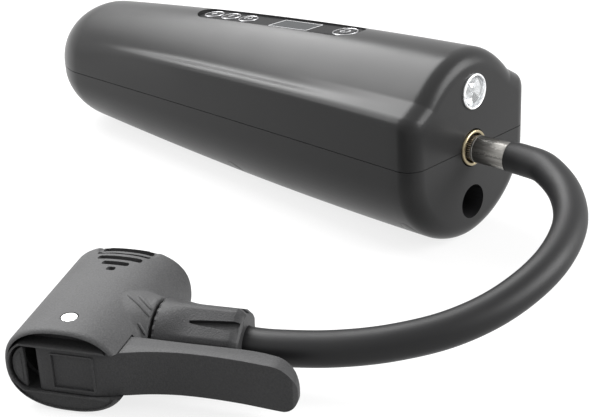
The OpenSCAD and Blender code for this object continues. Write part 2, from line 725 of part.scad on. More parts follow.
module crank_bush() {
    color(brass) on_rest() difference() {
        rod_y(crank_axis + [0, plate_y - 0.8, 0], bush_r, frame_t + 0.8);
        rod_y(crank_axis + [0, plate_y - 0.8 - cut, 0], crank_shaft_r + run_gap, frame_t + 0.8 + 2*cut);
    }
}
module crank_pin() {
    color(steel) on_rest() {
        rod_y(crank_axis + [throw, pump_y - rod_t/2 - 0.2, 0], crank_pin_r, rod_t + 0.2 + pin_shoulder + 0.2 + gear_face);
        rod_y(crank_axis + [throw, pump_y - rod_t/2 - 1.2, 0], crank_pin_r + 1, 1);
        rod_y(crank_axis + [throw, pump_y + rod_t/2 + 0.2, 0], crank_pin_r + 1, pin_shoulder);
    }
}
module connecting_rod() {
    color(mid_grey) on_rest() difference() {
        union() {
            rod_y([crank_x + throw, pump_y - rod_t/2, crank_z], rod_big_r, rod_t);
            rod_y([wrist_x, pump_y - rod_t/2, crank_z], rod_small_r, rod_t);
            box([wrist_x, pump_y - rod_t/2, crank_z - 2], [crank_x + throw, pump_y + rod_t/2, crank_z + 2]);
        }
        rod_y([crank_x + throw, pump_y - rod_t/2 - cut, crank_z], crank_pin_r + run_gap, rod_t + 2*cut);
        rod_y([wrist_x, pump_y - rod_t/2 - cut, crank_z], wrist_r, rod_t + 2*cut);
    }
}
module wrist_pin() {
    color(steel) on_rest() rod_y([wrist_x, pump_y - wrist_len/2, crank_z], wrist_r, wrist_len);
}
groove_x = wrist_x - piston_crown + 1.4;
ring_t = 0.7;
module piston() {
    color("#dcdcd6") on_rest() difference() {
        rod_x([wrist_x - piston_crown, pump_y, crank_z], piston_r, piston_crown + piston_skirt);
        rod_x([wrist_x - piston_crown + crown_t, pump_y, crank_z], skirt_r, piston_crown + piston_skirt);
        ring_x([groove_x, pump_y, crank_z], piston_r - ring_t + run_gap, ring_t);
    }
}
module piston_ring() {
    color(black) on_rest() ring_x([groove_x, pump_y, crank_z], piston_r - ring_t + run_gap, ring_t - 0.02);
}
module cylinder_sleeve() {
    color(steel) on_rest() difference() {
        rod_x([cylinder_in, pump_y, crank_z], cylinder_outer, cylinder_out - cylinder_in);
        rod_x([cylinder_in - cut, pump_y, crank_z], bore_r, cylinder_out - cylinder_in + 2*cut);
    }
}
head_x = cylinder_in - head_t;
nozzle_x = head_x - chamber_len/2;
nozzle_tip = pump_y - cylinder_outer - 1.5;
module cylinder_head() {
    color(mid_grey) on_rest() difference() {
        union() {
            rod_x([head_x, pump_y, crank_z], cylinder_outer, head_t);
            rod_x([head_x - chamber_len, pump_y, crank_z], chamber_r, chamber_len);
            rod_y([nozzle_x, nozzle_tip, crank_z], 1.2, pump_y - nozzle_tip - 4);
        }
        rod_x([head_x - chamber_len + 0.8, pump_y, crank_z], 4.5, chamber_len - 0.8);
        rod_x([head_x - cut, pump_y, crank_z], 1, head_t + 2*cut);
        rod_y([nozzle_x, nozzle_tip - cut, crank_z], 0.5, pump_y - nozzle_tip);
    }
}
module outlet_reed() {
    color(steel) on_rest() rod_x([head_x - 0.3, pump_y, crank_z], 3.2, 0.3);
}
tube_r = 1.9;
tube_sides = 8;
tube_route = [[0, barb_tip, 0], [-1, barb_tip + 2.5, 0], [-6, barb_tip + 4.5, 1], [-12, barb_tip + 5, 2.5],
    [-18, barb_tip + 4.5, 4.5], [nozzle_x + 1, nozzle_tip - 4, crank_z], [nozzle_x, nozzle_tip - 2, crank_z],
    [nozzle_x, nozzle_tip, crank_z]];
module air_tube() {
    color("#9a9a96") on_rest() loft(tube_rings(smooth(tube_route, hose_steps), tube_r, tube_sides, [0, 1, 0],
        [0, 1, 0]));
}

// ---- Battery -------------------------------------------------------------------------------
module battery_cells() {
    color("#2f6f9e") on_rest() for (p = cell_places) rod_y([p[0], pack_start, p[1]], cell_r, cell_len);
}
module cell_straps() {
    color(steel) on_rest() {
        box([-cell_step/2 - strap_half, pack_start - strap_t, cell_low - strap_half],
            [cell_step/2 + strap_half, pack_start, cell_low + strap_half]);
        box([-strap_half, pack_end, cell_low - strap_half + 1],
            [strap_half, pack_end + strap_t, cell_high + strap_half - 1]);
    }
}
module holder_plate(y) {
    w = strap_half + strap_slack;
    difference() {
        union() {
            for (p = cell_places) rod_y([p[0], y, p[1]], holder_r, holder_t);
            translate([0, y + holder_t, 0]) rotate([90, 0, 0]) linear_extrude(holder_t)
                polygon([for (p = cell_places) p]);
        }
        for (p = cell_places) rod_y([p[0], y - cut, p[1]], window_r, holder_t + 2*cut);
        box([-cell_step/2 - w, y - cut, cell_low - w], [cell_step/2 + w, y + holder_t + cut, cell_low + w]);
        box([-w, y - cut, cell_low - w + 1], [w, y + holder_t + cut, cell_high + w - 1]);
    }
}
module battery_holder() {
    color(black) on_rest() {
        holder_plate(pack_start - holder_t);
        holder_plate(pack_end);
        for (s = [-1, 1]) box([s*cell_step/2 - bar_w/2, pack_start - holder_t, holder_low],
            [s*cell_step/2 + bar_w/2, pack_end + holder_t, cell_low - cell_r - 0.05]);
    }
}
module protection_board() {
    color("#1f5a3a") on_rest() box([-9, pack_start - holder_t - 1.6, cell_low - 6],
        [9, pack_start - holder_t, cell_low + 8]);
}

// ---- Air chuck -----------------------------------------------------------------------------
module slot_box(low, high) {
    box([low[0], low[1], -lever_h/2 - slot_gap], [high[0], high[1], lever_h/2 + slot_gap]);
}
module chuck_body() {
    color(mid_grey) on_chuck() difference() {
        union() {
            loft([barrel_ring(0, barrel_round), barrel_ring(0.4, 0.4*barrel_round), barrel_ring(barrel_round, 0),
                barrel_ring(barrel_len - barrel_round, 0), barrel_ring(barrel_len - 0.4, 0.4*barrel_round),
                barrel_ring(barrel_len, barrel_round)]);
            translate([branch_x, 0, 0]) rotate([90, 0, 0]) cylinder(r = branch_r, h = barrel_w/2 + 0.1);
            translate([branch_x, 0, 0]) rotate([90, 0, 0]) cylinder(r = branch_r - 1.3, h = nut_start);
        }
        rod_x([pivot_x, 0, 0], chuck_bore_r, barrel_len);
        translate([pivot_x, 0, -lever_h/2 - slot_gap]) cylinder(r = sweep_r, h = lever_h + 2*slot_gap);
        slot_box([-cut, -barrel_w], [pivot_x + arm_in + 0.6, 0]);
        slot_box([-cut, -cut], [pivot_x, plug_in - slot_gap]);
        intersection() {
            slot_box([-cut, -cut], [pivot_x, barrel_w]);
            loft([for (x = [-cut, pivot_x]) [for (p = oval(barrel_w - 2*chuck_wall, barrel_h - 2*chuck_wall, barrel_sides))
                [x, p[0], p[1]]]]);
        }
        rod_z([pivot_x, 0, -barrel_h], pivot_r, 2*barrel_h);
        for (s = [-1, 1]) translate([pivot_x, 0, s*(barrel_h/2 + 1 - pin_head_t)])
            cylinder(r = pin_head_r, h = 2, center = true);
        translate([branch_x, 0, 0]) rotate([90, 0, 0]) cylinder(r = barb_r, h = barrel_w);
        for (i = [0:len(vent_lengths) - 1]) let (x = barrel_len - vent_end - i*vent_pitch)
            box([x - vent_w/2, -vent_lengths[i]/2, chuck_bore_r - 2], [x + vent_w/2, vent_lengths[i]/2, barrel_h]);
        box([barrel_len - recess_len, -recess_w/2, barrel_h/2 - recess_t], [barrel_len + cut, recess_w/2, barrel_h]);
    }
}
module chuck_nut() {
    color(mid_grey) on_chuck() difference() {
        translate([branch_x, -nut_start, 0]) rotate([90, 0, 0]) cylinder(r = nut_r, h = nut_end - nut_start);
        translate([branch_x, -nut_start + cut, 0]) rotate([90, 0, 0]) cylinder(r = barb_r, h = nut_end);
        for (a = [0:60:300]) translate([branch_x, -nut_end - cut, 0]) rotate([0, a, 0]) translate([-nut_r, 0, nut_r - 0.9])
            cube([2*nut_r, nut_end - nut_start - 7, 3]);
        for (a = [30:60:330]) translate([branch_x, -nut_end - cut, 0]) rotate([0, a, 0]) translate([-0.6, 0, nut_r - 0.8])
            cube([1.2, nut_end - nut_start - 5, 3]);
    }
}
module hose_barb() {
    color(brass) on_chuck() difference() {
        translate([branch_x, -chuck_bore_r, 0]) rotate([90, 0, 0]) cylinder(r = barb_r, h = nut_end - chuck_bore_r);
        translate([branch_x, 0, 0]) rotate([90, 0, 0]) cylinder(r = 1.2, h = nut_end + cut);
    }
}
module chuck_lever() {
    color(dark_grey) on_chuck() difference() {
        intersection() {
            translate([0, 0, -lever_h/2]) linear_extrude(lever_h) polygon(concat(
                lever_front, [[3.2, -lever_len + 1.5], [3.8, -lever_len], [5.4, 1.2 - lever_len], [8.2, -lever_len + 6]],
                lever_back, [for (i = [0:8]) let (a = 90*i/8, r = cam_min + plunger_travel*a/90)
                    [pivot_x + r*cos(a), r*sin(a)]]));
            rotate([0, 90, 0]) linear_extrude(20) {
                translate([-lever_h/2, 6 - lever_len]) square([lever_h, lever_len + 6]);
                translate([0, lever_h/2 - lever_len]) circle(lever_h/2);
            }
        }
        rod_z([pivot_x, 0, -lever_h], pivot_r + run_gap, 2*lever_h);
        box([-cut, -7.6, -4.6], [hub_front + 0.5, 2.7, 4.6]);
    }
}
module lever_pin() {
    color(steel) on_chuck() {
        rod_z([pivot_x, 0, -barrel_h/2 + 0.1], pivot_r, barrel_h - 0.2);
        for (s = [-1, 1]) translate([pivot_x, 0, s*(barrel_h - pin_head_t)/2])
            cylinder(r = pin_head_r - 0.1, h = pin_head_t - 0.1, center = true);
    }
}
rings_x = [plunger_start + 2, plunger_end - 2];
module chuck_plunger() {
    color("#c9c9c4") on_chuck() difference() {
        union() {
            rod_x([plunger_start, 0, 0], plunger_r, plunger_end - plunger_start);
            rod_x([plunger_end, 0, 0], 1.1, 4);
        }
        for (x = rings_x) ring_x([x, 0, 0], plunger_r - 0.8, 0.85);
        translate([branch_x, 0, 0]) rotate([90, 0, 0]) cylinder(r = 2, h = barrel_w);
        rod_x([branch_x, 2.4, 0], 0.8, barrel_len);
    }
}
module plunger_rings() {
    color(black) on_chuck() for (x = rings_x) ring_x([x, 0, 0], plunger_r - 0.8, 0.8);
}
module valve_seal() {
    color(black) on_chuck() difference() {
        rod_x([seal_start, 0, 0], chuck_bore_r - 0.1, cap_start - seal_start);
        rod_x([seal_start - cut, 0, 0], mouth_r - 0.6, cap_start - seal_start + 2*cut);
    }
}
module chuck_cap() {
    color(dark_grey) on_chuck() difference() {
        rod_x([cap_start, 0, 0], chuck_bore_r, barrel_len - cap_start + 0.4);
        rod_x([cap_start - cut, 0, 0], mouth_r, barrel_len);
    }
}
module side_plug() {
    color(dark_grey) on_chuck() intersection() {
        box([0.7, plug_in, -lever_h/2 + 0.2], [pivot_x - 0.2, barrel_w, lever_h/2 - 0.2]);
        loft([for (x = [0, pivot_x]) [for (p = oval(barrel_w - 2*chuck_wall - 0.2, barrel_h - 2*chuck_wall - 0.2, barrel_sides))
            [x, p[0], p[1]]]]);
    }
}

upper_shell();
lower_shell();
control_panel();
display_window();
display_module();
power_button();
small_button_1();
small_button_2();
small_button_3();
main_board();
button_switches();
pressure_sensor();
light_bezel();
light_lens();
light_reflector();
light_board();
outlet_bushing();
outlet_seal();
hose_ferrule();
air_hose();
charging_socket();
socket_pin();
pump_frame();
motor_can();
motor_end_cap();
motor_shaft();
pinion();
crank_gear();
crank_shaft();
crank_bush();
crank_pin();
connecting_rod();
wrist_pin();
piston();
piston_ring();
cylinder_sleeve();
cylinder_head();
outlet_reed();
air_tube();
frame_screws();
battery_cells();
cell_straps();
battery_holder();
protection_board();
case_screws();
chuck_body();
chuck_nut();
hose_barb();
chuck_lever();
lever_pin();
chuck_plunger();
plunger_rings();
valve_seal();
chuck_cap();
side_plug();
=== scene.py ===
import json
from math import atan, atan2, copysign, cos, dist, hypot, pi, radians, sin, tan
import bpy
import bmesh
from mathutils import Matrix, Vector
from mathutils.bvhtree import BVHTree


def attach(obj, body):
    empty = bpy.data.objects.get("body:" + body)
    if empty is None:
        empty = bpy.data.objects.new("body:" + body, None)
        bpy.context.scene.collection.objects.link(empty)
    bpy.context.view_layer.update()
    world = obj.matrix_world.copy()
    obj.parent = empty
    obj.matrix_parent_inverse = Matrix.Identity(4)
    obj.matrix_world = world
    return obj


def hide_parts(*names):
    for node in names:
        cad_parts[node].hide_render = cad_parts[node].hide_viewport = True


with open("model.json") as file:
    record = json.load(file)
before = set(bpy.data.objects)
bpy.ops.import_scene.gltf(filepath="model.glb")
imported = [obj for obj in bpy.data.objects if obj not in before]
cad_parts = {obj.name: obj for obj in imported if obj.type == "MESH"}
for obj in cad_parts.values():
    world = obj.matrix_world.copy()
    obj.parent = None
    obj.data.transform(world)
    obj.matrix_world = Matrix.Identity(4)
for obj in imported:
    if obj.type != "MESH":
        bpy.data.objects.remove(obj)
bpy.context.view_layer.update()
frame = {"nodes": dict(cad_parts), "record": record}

scene = bpy.context.scene
MM = 0.001
UP = Vector((0, 0, 1))

# ---- Sizes of the object, in millimetres

BODY_W, BODY_LEN = 58.0, 200.0
CROWN_H, BELLY_H = 30.0, 30.1
WIDTH_TAPER, HEIGHT_TAPER = 0.25, 0.263
WALL, END_WALL, END_FILLET, CAP_LEN = 2.2, 2.4, 5.9, 28.0
SIDE_UP, SIDE_DOWN = 12.8, 5.1
NOTCH_X, NOTCH_Z = 24.0, 16.7
CROWN_BOW, BELLY_BOW, SIDE_BOW = 1.8, 2.6, 0.5
CROWN_POWER, BELLY_POWER, CAP_POWER = 2.2, 1.86, 1.78
LEDGE, LEDGE_DROP = 0.45, 0.5
REST_CUT, REST_SHARE = 0.8, 0.44
PANEL_W, PANEL_LEN, PANEL_START, PANEL_T, PANEL_SINK = 12.0, 76.0, 43.5, 1.4, 0.2
POWER_R, BUTTON_R, BUTTON_PITCH = 3.8, 3.1, 8.9
DISPLAY_LEN, DISPLAY_W = 17.5, 8.5
LIGHT_UP, LIGHT_R, LIGHT_LIP = 17.6, 5.4, 0.4
SOCKET_DOWN, SOCKET_R, SOCKET_DEPTH = 17.5, 5.35, 12.0
OUTLET_R, FERRULE_R, FERRULE_LEN, HOSE_D = 5.55, 4.15, 13.3, 9.2
BARREL_W, BARREL_H, BARREL_LEN = 31.0, 23.0, 45.8
CHUCK_BORE_R, BRANCH_X, BRANCH_R, NUT_END = 8.6, 21.5, 9.5, 38.8
LEVER_H, LEVER_LEN, PIVOT_R, PIVOT_X = 12.0, 58.4, 1.5, 7.0
CHUCK_POS, CHUCK_TURN = Vector((-138.7, -69.8, BARREL_H / 2)), radians(30)
SOCKET_RECESS, JACK_R, MOUTH_R, OUTLET_GAP = 6.0, 2.75, 4.3, 0.35
SCREW_WELL_R, HEAD_SEAT, PLUG_GAP = 2.7, 7.0, 0.12
HALF_W = BODY_W / 2
SCREW_PLACES = ((20, 8.5), (-20, 8.5), (17.5, 88.2), (-17.5, 88.2), (0, 182))


# ---- Places of the body, the strip and the chuck

def clamped(value, start, end):
    """How far a value has gone from the start to the end, kept between 0 and 1."""
    return min(max((value - start) / (end - start), 0), 1)


def eased(value, start, end):
    """The same, with a soft start and a soft end."""
    t = clamped(value, start, end)
    return t * t * (3 - 2 * t)


def bow(y):
    """The swelling of the body between its end fillet and its cap."""
    t = clamped(y, END_FILLET, BODY_LEN - CAP_LEN)
    return 4 * t * (1 - t)


def x_scale(y):
    """How wide a section of the body is, beside the one at the light end."""
    return (1 - WIDTH_TAPER * y / BODY_LEN) * (1 - SIDE_BOW * bow(y) / HALF_W)


def z_scale(y, h, b):
    """How high it is, for a half of height h that bows out by b."""
    return (1 - HEIGHT_TAPER * y / BODY_LEN) * (1 + b * bow(y) / h)


def crown_at(x, y):
    """Height of the crown over a point of the body."""
    side = min(abs(x / x_scale(y)) / NOTCH_X, 1)
    rise = (CROWN_H - NOTCH_Z) * (1 - side ** CROWN_POWER)
    return (NOTCH_Z + rise) * z_scale(y, CROWN_H, CROWN_BOW)


REST_TILT = atan(HEIGHT_TAPER * CROWN_H / BODY_LEN)
BELLY_STATIONS = [min(BODY_LEN * i / 40, BODY_LEN - CAP_LEN) for i in range(41)]
FLOOR_GAP = max(BELLY_H * z_scale(y, BELLY_H, BELLY_BOW) + y * tan(REST_TILT)
                for y in BELLY_STATIONS) - REST_CUT
REST_Y = REST_SHARE * BODY_LEN
REST_POINT = Vector((0, REST_Y, REST_Y * tan(REST_TILT) - FLOOR_GAP))
ON_BODY = Matrix.Rotation(-REST_TILT, 4, "X") @ Matrix.Translation(-REST_POINT)

PANEL_MID = PANEL_START + PANEL_LEN / 2
PANEL_FAR = PANEL_START + PANEL_LEN
crown_near, crown_far = (crown_at(PANEL_W / 2, y) for y in (PANEL_START, PANEL_FAR))
PANEL_SLOPE = atan((crown_near - crown_far) / PANEL_LEN)
PANEL_Z = (crown_near + crown_far) / 2 - PANEL_SINK
ON_PANEL = (ON_BODY @ Matrix.Translation((0, PANEL_MID, PANEL_Z))
            @ Matrix.Rotation(-PANEL_SLOPE, 4, "X") @ Matrix.Translation((0, -PANEL_MID, 0)))
ON_CHUCK = Matrix.Translation(CHUCK_POS) @ Matrix.Rotation(CHUCK_TURN, 4, "Z")

POWER_Y, DISPLAY_Y, BUTTONS_Y = PANEL_START + 6.8, PANEL_START + 29.3, PANEL_START + 52.3
BUTTON_PLACES = [(POWER_Y, POWER_R)] + [(BUTTONS_Y + i * BUTTON_PITCH, BUTTON_R) for i in range(3)]


# ---- Camera

CAMERA_PLACE = Vector((-0.25859, -0.27184, 0.15857))
LOOK, RIGHT = Vector((0.63756, 0.64538, -0.42071)), Vector((0.70195, -0.71168, -0.02797))
LENS_MM, SENSOR_MM, NEAREST = 68.77, 36, 0.01


def linked(name, data):
    """A new object in the scene."""
    obj = bpy.data.objects.new(name, data)
    scene.collection.objects.link(obj)
    return obj


camera = linked("camera", bpy.data.cameras.new("camera"))
facing = Matrix((RIGHT, RIGHT.cross(LOOK), -LOOK)).transposed().to_4x4()
camera.matrix_world = Matrix.Translation(CAMERA_PLACE) @ facing
camera.data.lens = LENS_MM
camera.data.sensor_width = SENSOR_MM
camera.data.clip_start = NEAREST
scene.camera = camera


# ---- Mesh helpers

def mesh_object(name, points, faces, place=None):
    """A piece from points in millimetres, moved to its place in the shared frame."""
    mesh = bpy.data.meshes.new(name)
    moved = [(place @ Vector(p) if place else Vector(p)) * MM for p in points]
    mesh.from_pydata(moved, [], faces)
    mesh.update()
    return linked(name, mesh)


def clean(obj, merge=0.002):
    """Merges double points and turns every face outwards."""
    bm = bmesh.new()
    bm.from_mesh(obj.data)
    bmesh.ops.remove_doubles(bm, verts=bm.verts, dist=merge * MM)
    bmesh.ops.recalc_face_normals(bm, faces=bm.faces)
    bm.to_mesh(obj.data)
    bm.free()
    return obj


def apply_modifiers(obj):
    """Turns a piece with its modifiers into a plain mesh."""
    graph = bpy.context.evaluated_depsgraph_get()
    mesh = bpy.data.meshes.new_from_object(obj.evaluated_get(graph))
    obj.modifiers.clear()
    obj.data = mesh
    return obj


def modified(obj, kind, **settings):
    """A piece with one modifier applied."""
    modifier = obj.modifiers.new("step", kind)
    for key, value in settings.items():
        setattr(modifier, key, value)
    return apply_modifiers(obj)


def drop(*objs):
    """Removes helper objects from the scene."""
    for obj in objs:
        bpy.data.objects.remove(obj, do_unlink=True)


def boolean(obj, *cutters, operation="DIFFERENCE"):
    """Cuts a piece by each of the cutters, joins them to it or keeps what they share."""
    for cutter in cutters:
        modified(obj, "BOOLEAN", object=cutter, operation=operation, solver="MANIFOLD")
        drop(cutter)
    return obj


def joined(name, objs):
    """One piece made of several, without merging their surfaces."""
    bm = bmesh.new()
    for obj in objs:
        bm.from_mesh(obj.data)
    mesh = bpy.data.meshes.new(name)
    bm.to_mesh(mesh)
    bm.free()
    drop(*objs)
    return linked(name, mesh)


def smooth(obj, angle=32):
    """Smooth shading, but for edges sharper than the angle."""
    for p in obj.data.polygons:
        p.use_smooth = True
    obj.data.set_sharp_from_angle(angle=radians(angle))
    return obj


def bevel(obj, width, segments=3, angle=30):
    """Rounds the edges that are sharper than the angle."""
    return modified(obj, "BEVEL", width=width * MM, segments=segments, limit_method="ANGLE",
                    angle_limit=radians(angle), harden_normals=False)


def angles(first, last, steps):
    """Even steps between two angles, given in degrees."""
    return [radians(first + (last - first) * i / steps) for i in range(steps + 1)]


def circle(sides):
    """Cosine and sine of even steps round a circle."""
    turns = [2 * pi * i / sides for i in range(sides)]
    return [(cos(a), sin(a)) for a in turns]


def loft(name, rings, place=None):
    """A skin through rings of equal length, closed by one polygon at each end."""
    n = len(rings[0])
    points = [p for ring in rings for p in ring]
    far = len(points) - n
    faces = [(a + j, a + n + j, a + n + (j + 1) % n, a + (j + 1) % n)
             for a in range(0, far, n) for j in range(n)]
    faces += [tuple(range(n)), tuple(reversed(range(far, far + n)))]
    return clean(mesh_object(name, points, faces, place))


def turned(name, profile, place, axis="Y", sides=64, at=(0, 0, 0)):
    """A turned piece: profile points are (radius, distance along the axis)."""
    points = []
    for c, s in circle(sides):
        for r, d in profile:
            spin = {"X": (d, r * c, r * s), "Y": (r * c, d, r * s), "Z": (r * c, r * s, d)}[axis]
            points.append(Vector(spin) + Vector(at))
    n, total = len(profile), len(points)
    faces = [(a + j, a + j + 1, (a + n) % total + j + 1, (a + n) % total + j)
             for a in range(0, total, n) for j in range(n - 1)]
    return clean(mesh_object(name, points, faces, place))


def rod(name, r, low, high, place, axis="Y", at=(0, 0, 0), sides=64):
    """A plain cylinder."""
    return turned(name, [(0, low), (r, low), (r, high), (0, high)], place, axis, sides, at)


def block(name, low, high, place):
    """A plain box between two corners."""
    points = [(x, y, z) for x in (low[0], high[0]) for y in (low[1], high[1]) for z in (low[2], high[2])]
    faces = [(0, 1, 3, 2), (4, 6, 7, 5), (0, 4, 5, 1), (2, 3, 7, 6), (0, 2, 6, 4), (1, 5, 7, 3)]
    return clean(mesh_object(name, points, faces, place))


def prism(name, outline, low, high, place, axes="XYZ"):
    """An outline pushed along the third of the named axes."""
    corners = [dict(zip(axes, (*p, d))) for d in (low, high) for p in outline]
    points = [[corner[axis] for axis in "XYZ"] for corner in corners]
    n = len(outline)
    faces = [tuple(range(n)), tuple(range(n, 2 * n))]
    faces += [(j, (j + 1) % n, n + (j + 1) % n, n + j) for j in range(n)]
    return clean(mesh_object(name, points, faces, place))


def rounded_bar(x0, y0, x1, y1, r, steps=8):
    """Outline of a rectangle with round corners, counterclockwise."""
    corners = ((x1 - r, y1 - r, 0), (x0 + r, y1 - r, 90), (x0 + r, y0 + r, 180), (x1 - r, y0 + r, 270))
    return [(x + r * cos(a), y + r * sin(a))
            for x, y, start in corners for a in angles(start, start + 90, steps)]


def through(points, steps):
    """A smooth curve through points."""
    pts = [Vector(p) for p in (points[0], *points, points[-1])]
    out = []
    for a, b, c, d in zip(pts, pts[1:], pts[2:], pts[3:]):
        for t in (k / steps for k in range(steps)):
            out.append(0.5 * (2 * b + (c - a) * t + (2 * a - 5 * b + 4 * c - d) * t ** 2
                              + (3 * b - a - 3 * c + d) * t ** 3))
    return out + [pts[-1]]


def sweep(name, path, radii, sides, first=None, last=None):
    """A round tube along a path, closed at both ends; first and last turn its end faces."""
    steps = [path[min(i + 1, len(path) - 1)] - path[max(i - 1, 0)] for i in range(len(path))]
    steps[0], steps[-1] = first or steps[0], last or steps[-1]
    rings = []
    for i, (p, step) in enumerate(zip(path, steps)):
        along = step.normalized()
        side = along.cross(UP).normalized()
        lift = side.cross(along)
        r = radii(i / (len(path) - 1))
        rings.append([p + r * (c * side - s * lift) for c, s in circle(sides)])
    return loft(name, rings)


# ---- Node trees

def node(tree, kind, inputs=None, **settings):
    """Adds a node; an input is given a value, a socket that feeds it, or a node's first output."""
    made = tree.nodes.new(kind)
    for key, value in settings.items():
        setattr(made, key, value)
    for key, value in (inputs or {}).items():
        if isinstance(value, bpy.types.Node):
            value = value.outputs[0]
        if isinstance(value, bpy.types.NodeSocket):
            tree.links.new(value, made.inputs[key])
        else:
            made.inputs[key].default_value = value
    return made


def maths(tree, operation, *values):
    return node(tree, "ShaderNodeMath", dict(enumerate(values)), operation=operation)


def fresh_tree(owner):
    """The empty node tree of a material or a world."""
    owner.use_nodes = True
    owner.node_tree.nodes.clear()
    return owner.node_tree


def new_finish(name):
    mat = bpy.data.materials.new(name)
    return mat, fresh_tree(mat)


def noise(tree, scale, detail, stretch=None):
    """Noise on the piece's own coordinates, drawn out along the axes with a small stretch."""
    place = node(tree, "ShaderNodeTexCoord").outputs["Object"]
    if stretch:
        place = node(tree, "ShaderNodeMapping", {"Vector": place, "Scale": stretch})
    return node(tree, "ShaderNodeTexNoise", {"Vector": place, "Scale": scale, "Detail": detail})


def ranged(tree, value, low, high, from_low=0.3, from_high=0.7):
    return node(tree, "ShaderNodeMapRange", {"Value": value, "From Min": from_low, "From Max": from_high,
                                             "To Min": low, "To Max": high})


def blend(tree, factor, first, second):
    """A colour between two others."""
    mix = node(tree, "ShaderNodeMix", {"Factor": factor, "A": first, "B": second}, data_type="RGBA")
    return mix.outputs["Result"]


def relief(tree, height, depth):
    """Fine relief, its depth in millimetres."""
    return node(tree, "ShaderNodeBump", {"Height": height, "Distance": depth * MM})


def shaded(tree, inputs):
    node(tree, "ShaderNodeOutputMaterial", {"Surface": node(tree, "ShaderNodeBsdfPrincipled", inputs)})


def around(name, piece, count, place, start=0.0):
    """Repeats a piece round its Y axis, by a node tree that is given the count and the first angle."""
    tree = bpy.data.node_groups.new(name, "GeometryNodeTree")
    tree.interface.new_socket("Geometry", in_out="OUTPUT", socket_type="NodeSocketGeometry")
    sockets = {label: tree.interface.new_socket(label, in_out="INPUT", socket_type="NodeSocket" + kind)
               for label, kind in (("Geometry", "Geometry"), ("Count", "Int"), ("Start angle", "Float"),
                                   ("Finish", "Material"))}
    given = node(tree, "NodeGroupInput").outputs
    line = node(tree, "GeometryNodeMeshLine", {"Count": given["Count"], "Offset": (0, 0, 0)})
    step = maths(tree, "DIVIDE", 2 * pi, given["Count"])
    angle = maths(tree, "MULTIPLY_ADD", node(tree, "GeometryNodeInputIndex"), step, given["Start angle"])
    copies = node(tree, "GeometryNodeInstanceOnPoints", {
        "Points": line, "Instance": given["Geometry"],
        "Rotation": node(tree, "ShaderNodeCombineXYZ", {"Y": angle})})
    real = node(tree, "GeometryNodeRealizeInstances", {"Geometry": copies})
    finish = node(tree, "GeometryNodeSetMaterial", {"Geometry": real, "Material": given["Finish"]})
    node(tree, "NodeGroupOutput", {"Geometry": finish})
    repeat = piece.modifiers.new("repeat", "NODES")
    repeat.node_group = tree
    repeat[sockets["Count"].identifier] = count
    repeat[sockets["Start angle"].identifier] = start
    apply_modifiers(piece)
    piece.name = piece.data.name = name
    move = Matrix(place)
    move.translation = move.translation * MM
    piece.data.transform(move)
    return piece


# ---- Finishes

def moulded(name, colour, rough, grain_size, grain_depth, variation=0.06, specular=0.5, blotch=60, **more):
    """A moulded finish with slight changes of colour and gloss, and a fine surface grain."""
    mat, tree = new_finish(name)
    cloud = noise(tree, blotch, 4)
    speck = noise(tree, 1 / (grain_size * MM), 2)
    both = maths(tree, "MULTIPLY_ADD", cloud, 0.5, maths(tree, "MULTIPLY", speck, 0.5))
    darker, lighter = (tuple(min(c * (1 + v), 1) for c in colour) + (1,) for v in (-variation, variation))
    shaded(tree, {"Base Color": blend(tree, ranged(tree, both, 0, 1), darker, lighter),
                  "Roughness": ranged(tree, cloud, rough * 0.93, min(rough * 1.08, 1)),
                  "Normal": relief(tree, speck, grain_depth), "Specular IOR Level": specular, **more})
    return mat


def metal(name, colour, rough, line_size, line_depth, stretch=(1, 1, 1), stain_and_painted_reflection=0.06, patches=90,
          patch_stretch=None):
    """A metal with fine tool lines, and patches that are duller and darker: small stains on most metals,
    painted reflections on the mirror, its dark facets and the hose sleeve.
    """
    mat, tree = new_finish(name)
    lines = noise(tree, 1 / (line_size * MM), 2, stretch)
    cloud = noise(tree, patches, 3, patch_stretch)
    # Darker patch colour: a stain on most metals, a painted reflection on the mirror, its dark facets and
    # the hose sleeve.
    stain_and_reflection_colour = tuple(c * (1 - stain_and_painted_reflection) for c in colour) + (1,)
    shaded(tree, {"Base Color": blend(tree, ranged(tree, cloud, 0, 1), stain_and_reflection_colour, colour + (1,)),
                  "Roughness": ranged(tree, cloud, rough * 1.25, rough * 0.85),
                  "Normal": relief(tree, lines, line_depth), "Metallic": 1.0})
    return mat


def printed_board(name):
    """Green lacquer over copper tracks, with tinned spots."""
    mat, tree = new_finish(name)
    place = node(tree, "ShaderNodeTexCoord").outputs["Object"]
    tracks = node(tree, "ShaderNodeTexBrick", {
        "Vector": place, "Scale": 160, "Mortar Size": 0.03, "Mortar": (0.03, 0.2, 0.075, 1),
        "Color1": (0.012, 0.105, 0.04, 1), "Color2": (0.015, 0.125, 0.05, 1)})
    spots = node(tree, "ShaderNodeTexVoronoi", {"Vector": place, "Scale": 420}).outputs["Distance"]
    tin = maths(tree, "LESS_THAN", spots, 0.14)
    shaded(tree, {"Base Color": blend(tree, tin, tracks.outputs["Color"], (0.62, 0.62, 0.6, 1)),
                  "Metallic": tin, "Roughness": ranged(tree, spots, 0.3, 0.42, 0, 1),
                  "Normal": relief(tree, tracks.outputs["Fac"], 0.03)})
    return mat


def paint(obj, mat):
    """Gives a piece or a solid its one finish."""
    obj.data.materials.clear()
    obj.data.materials.append(mat)


def finished(obj, finish, slot, *solids, body="base"):
    """Paints a piece, places it on its body and hides the solids that it stands for."""
    paint(obj, finish)
    if solids:
        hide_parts(*solids)
    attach(obj, body)


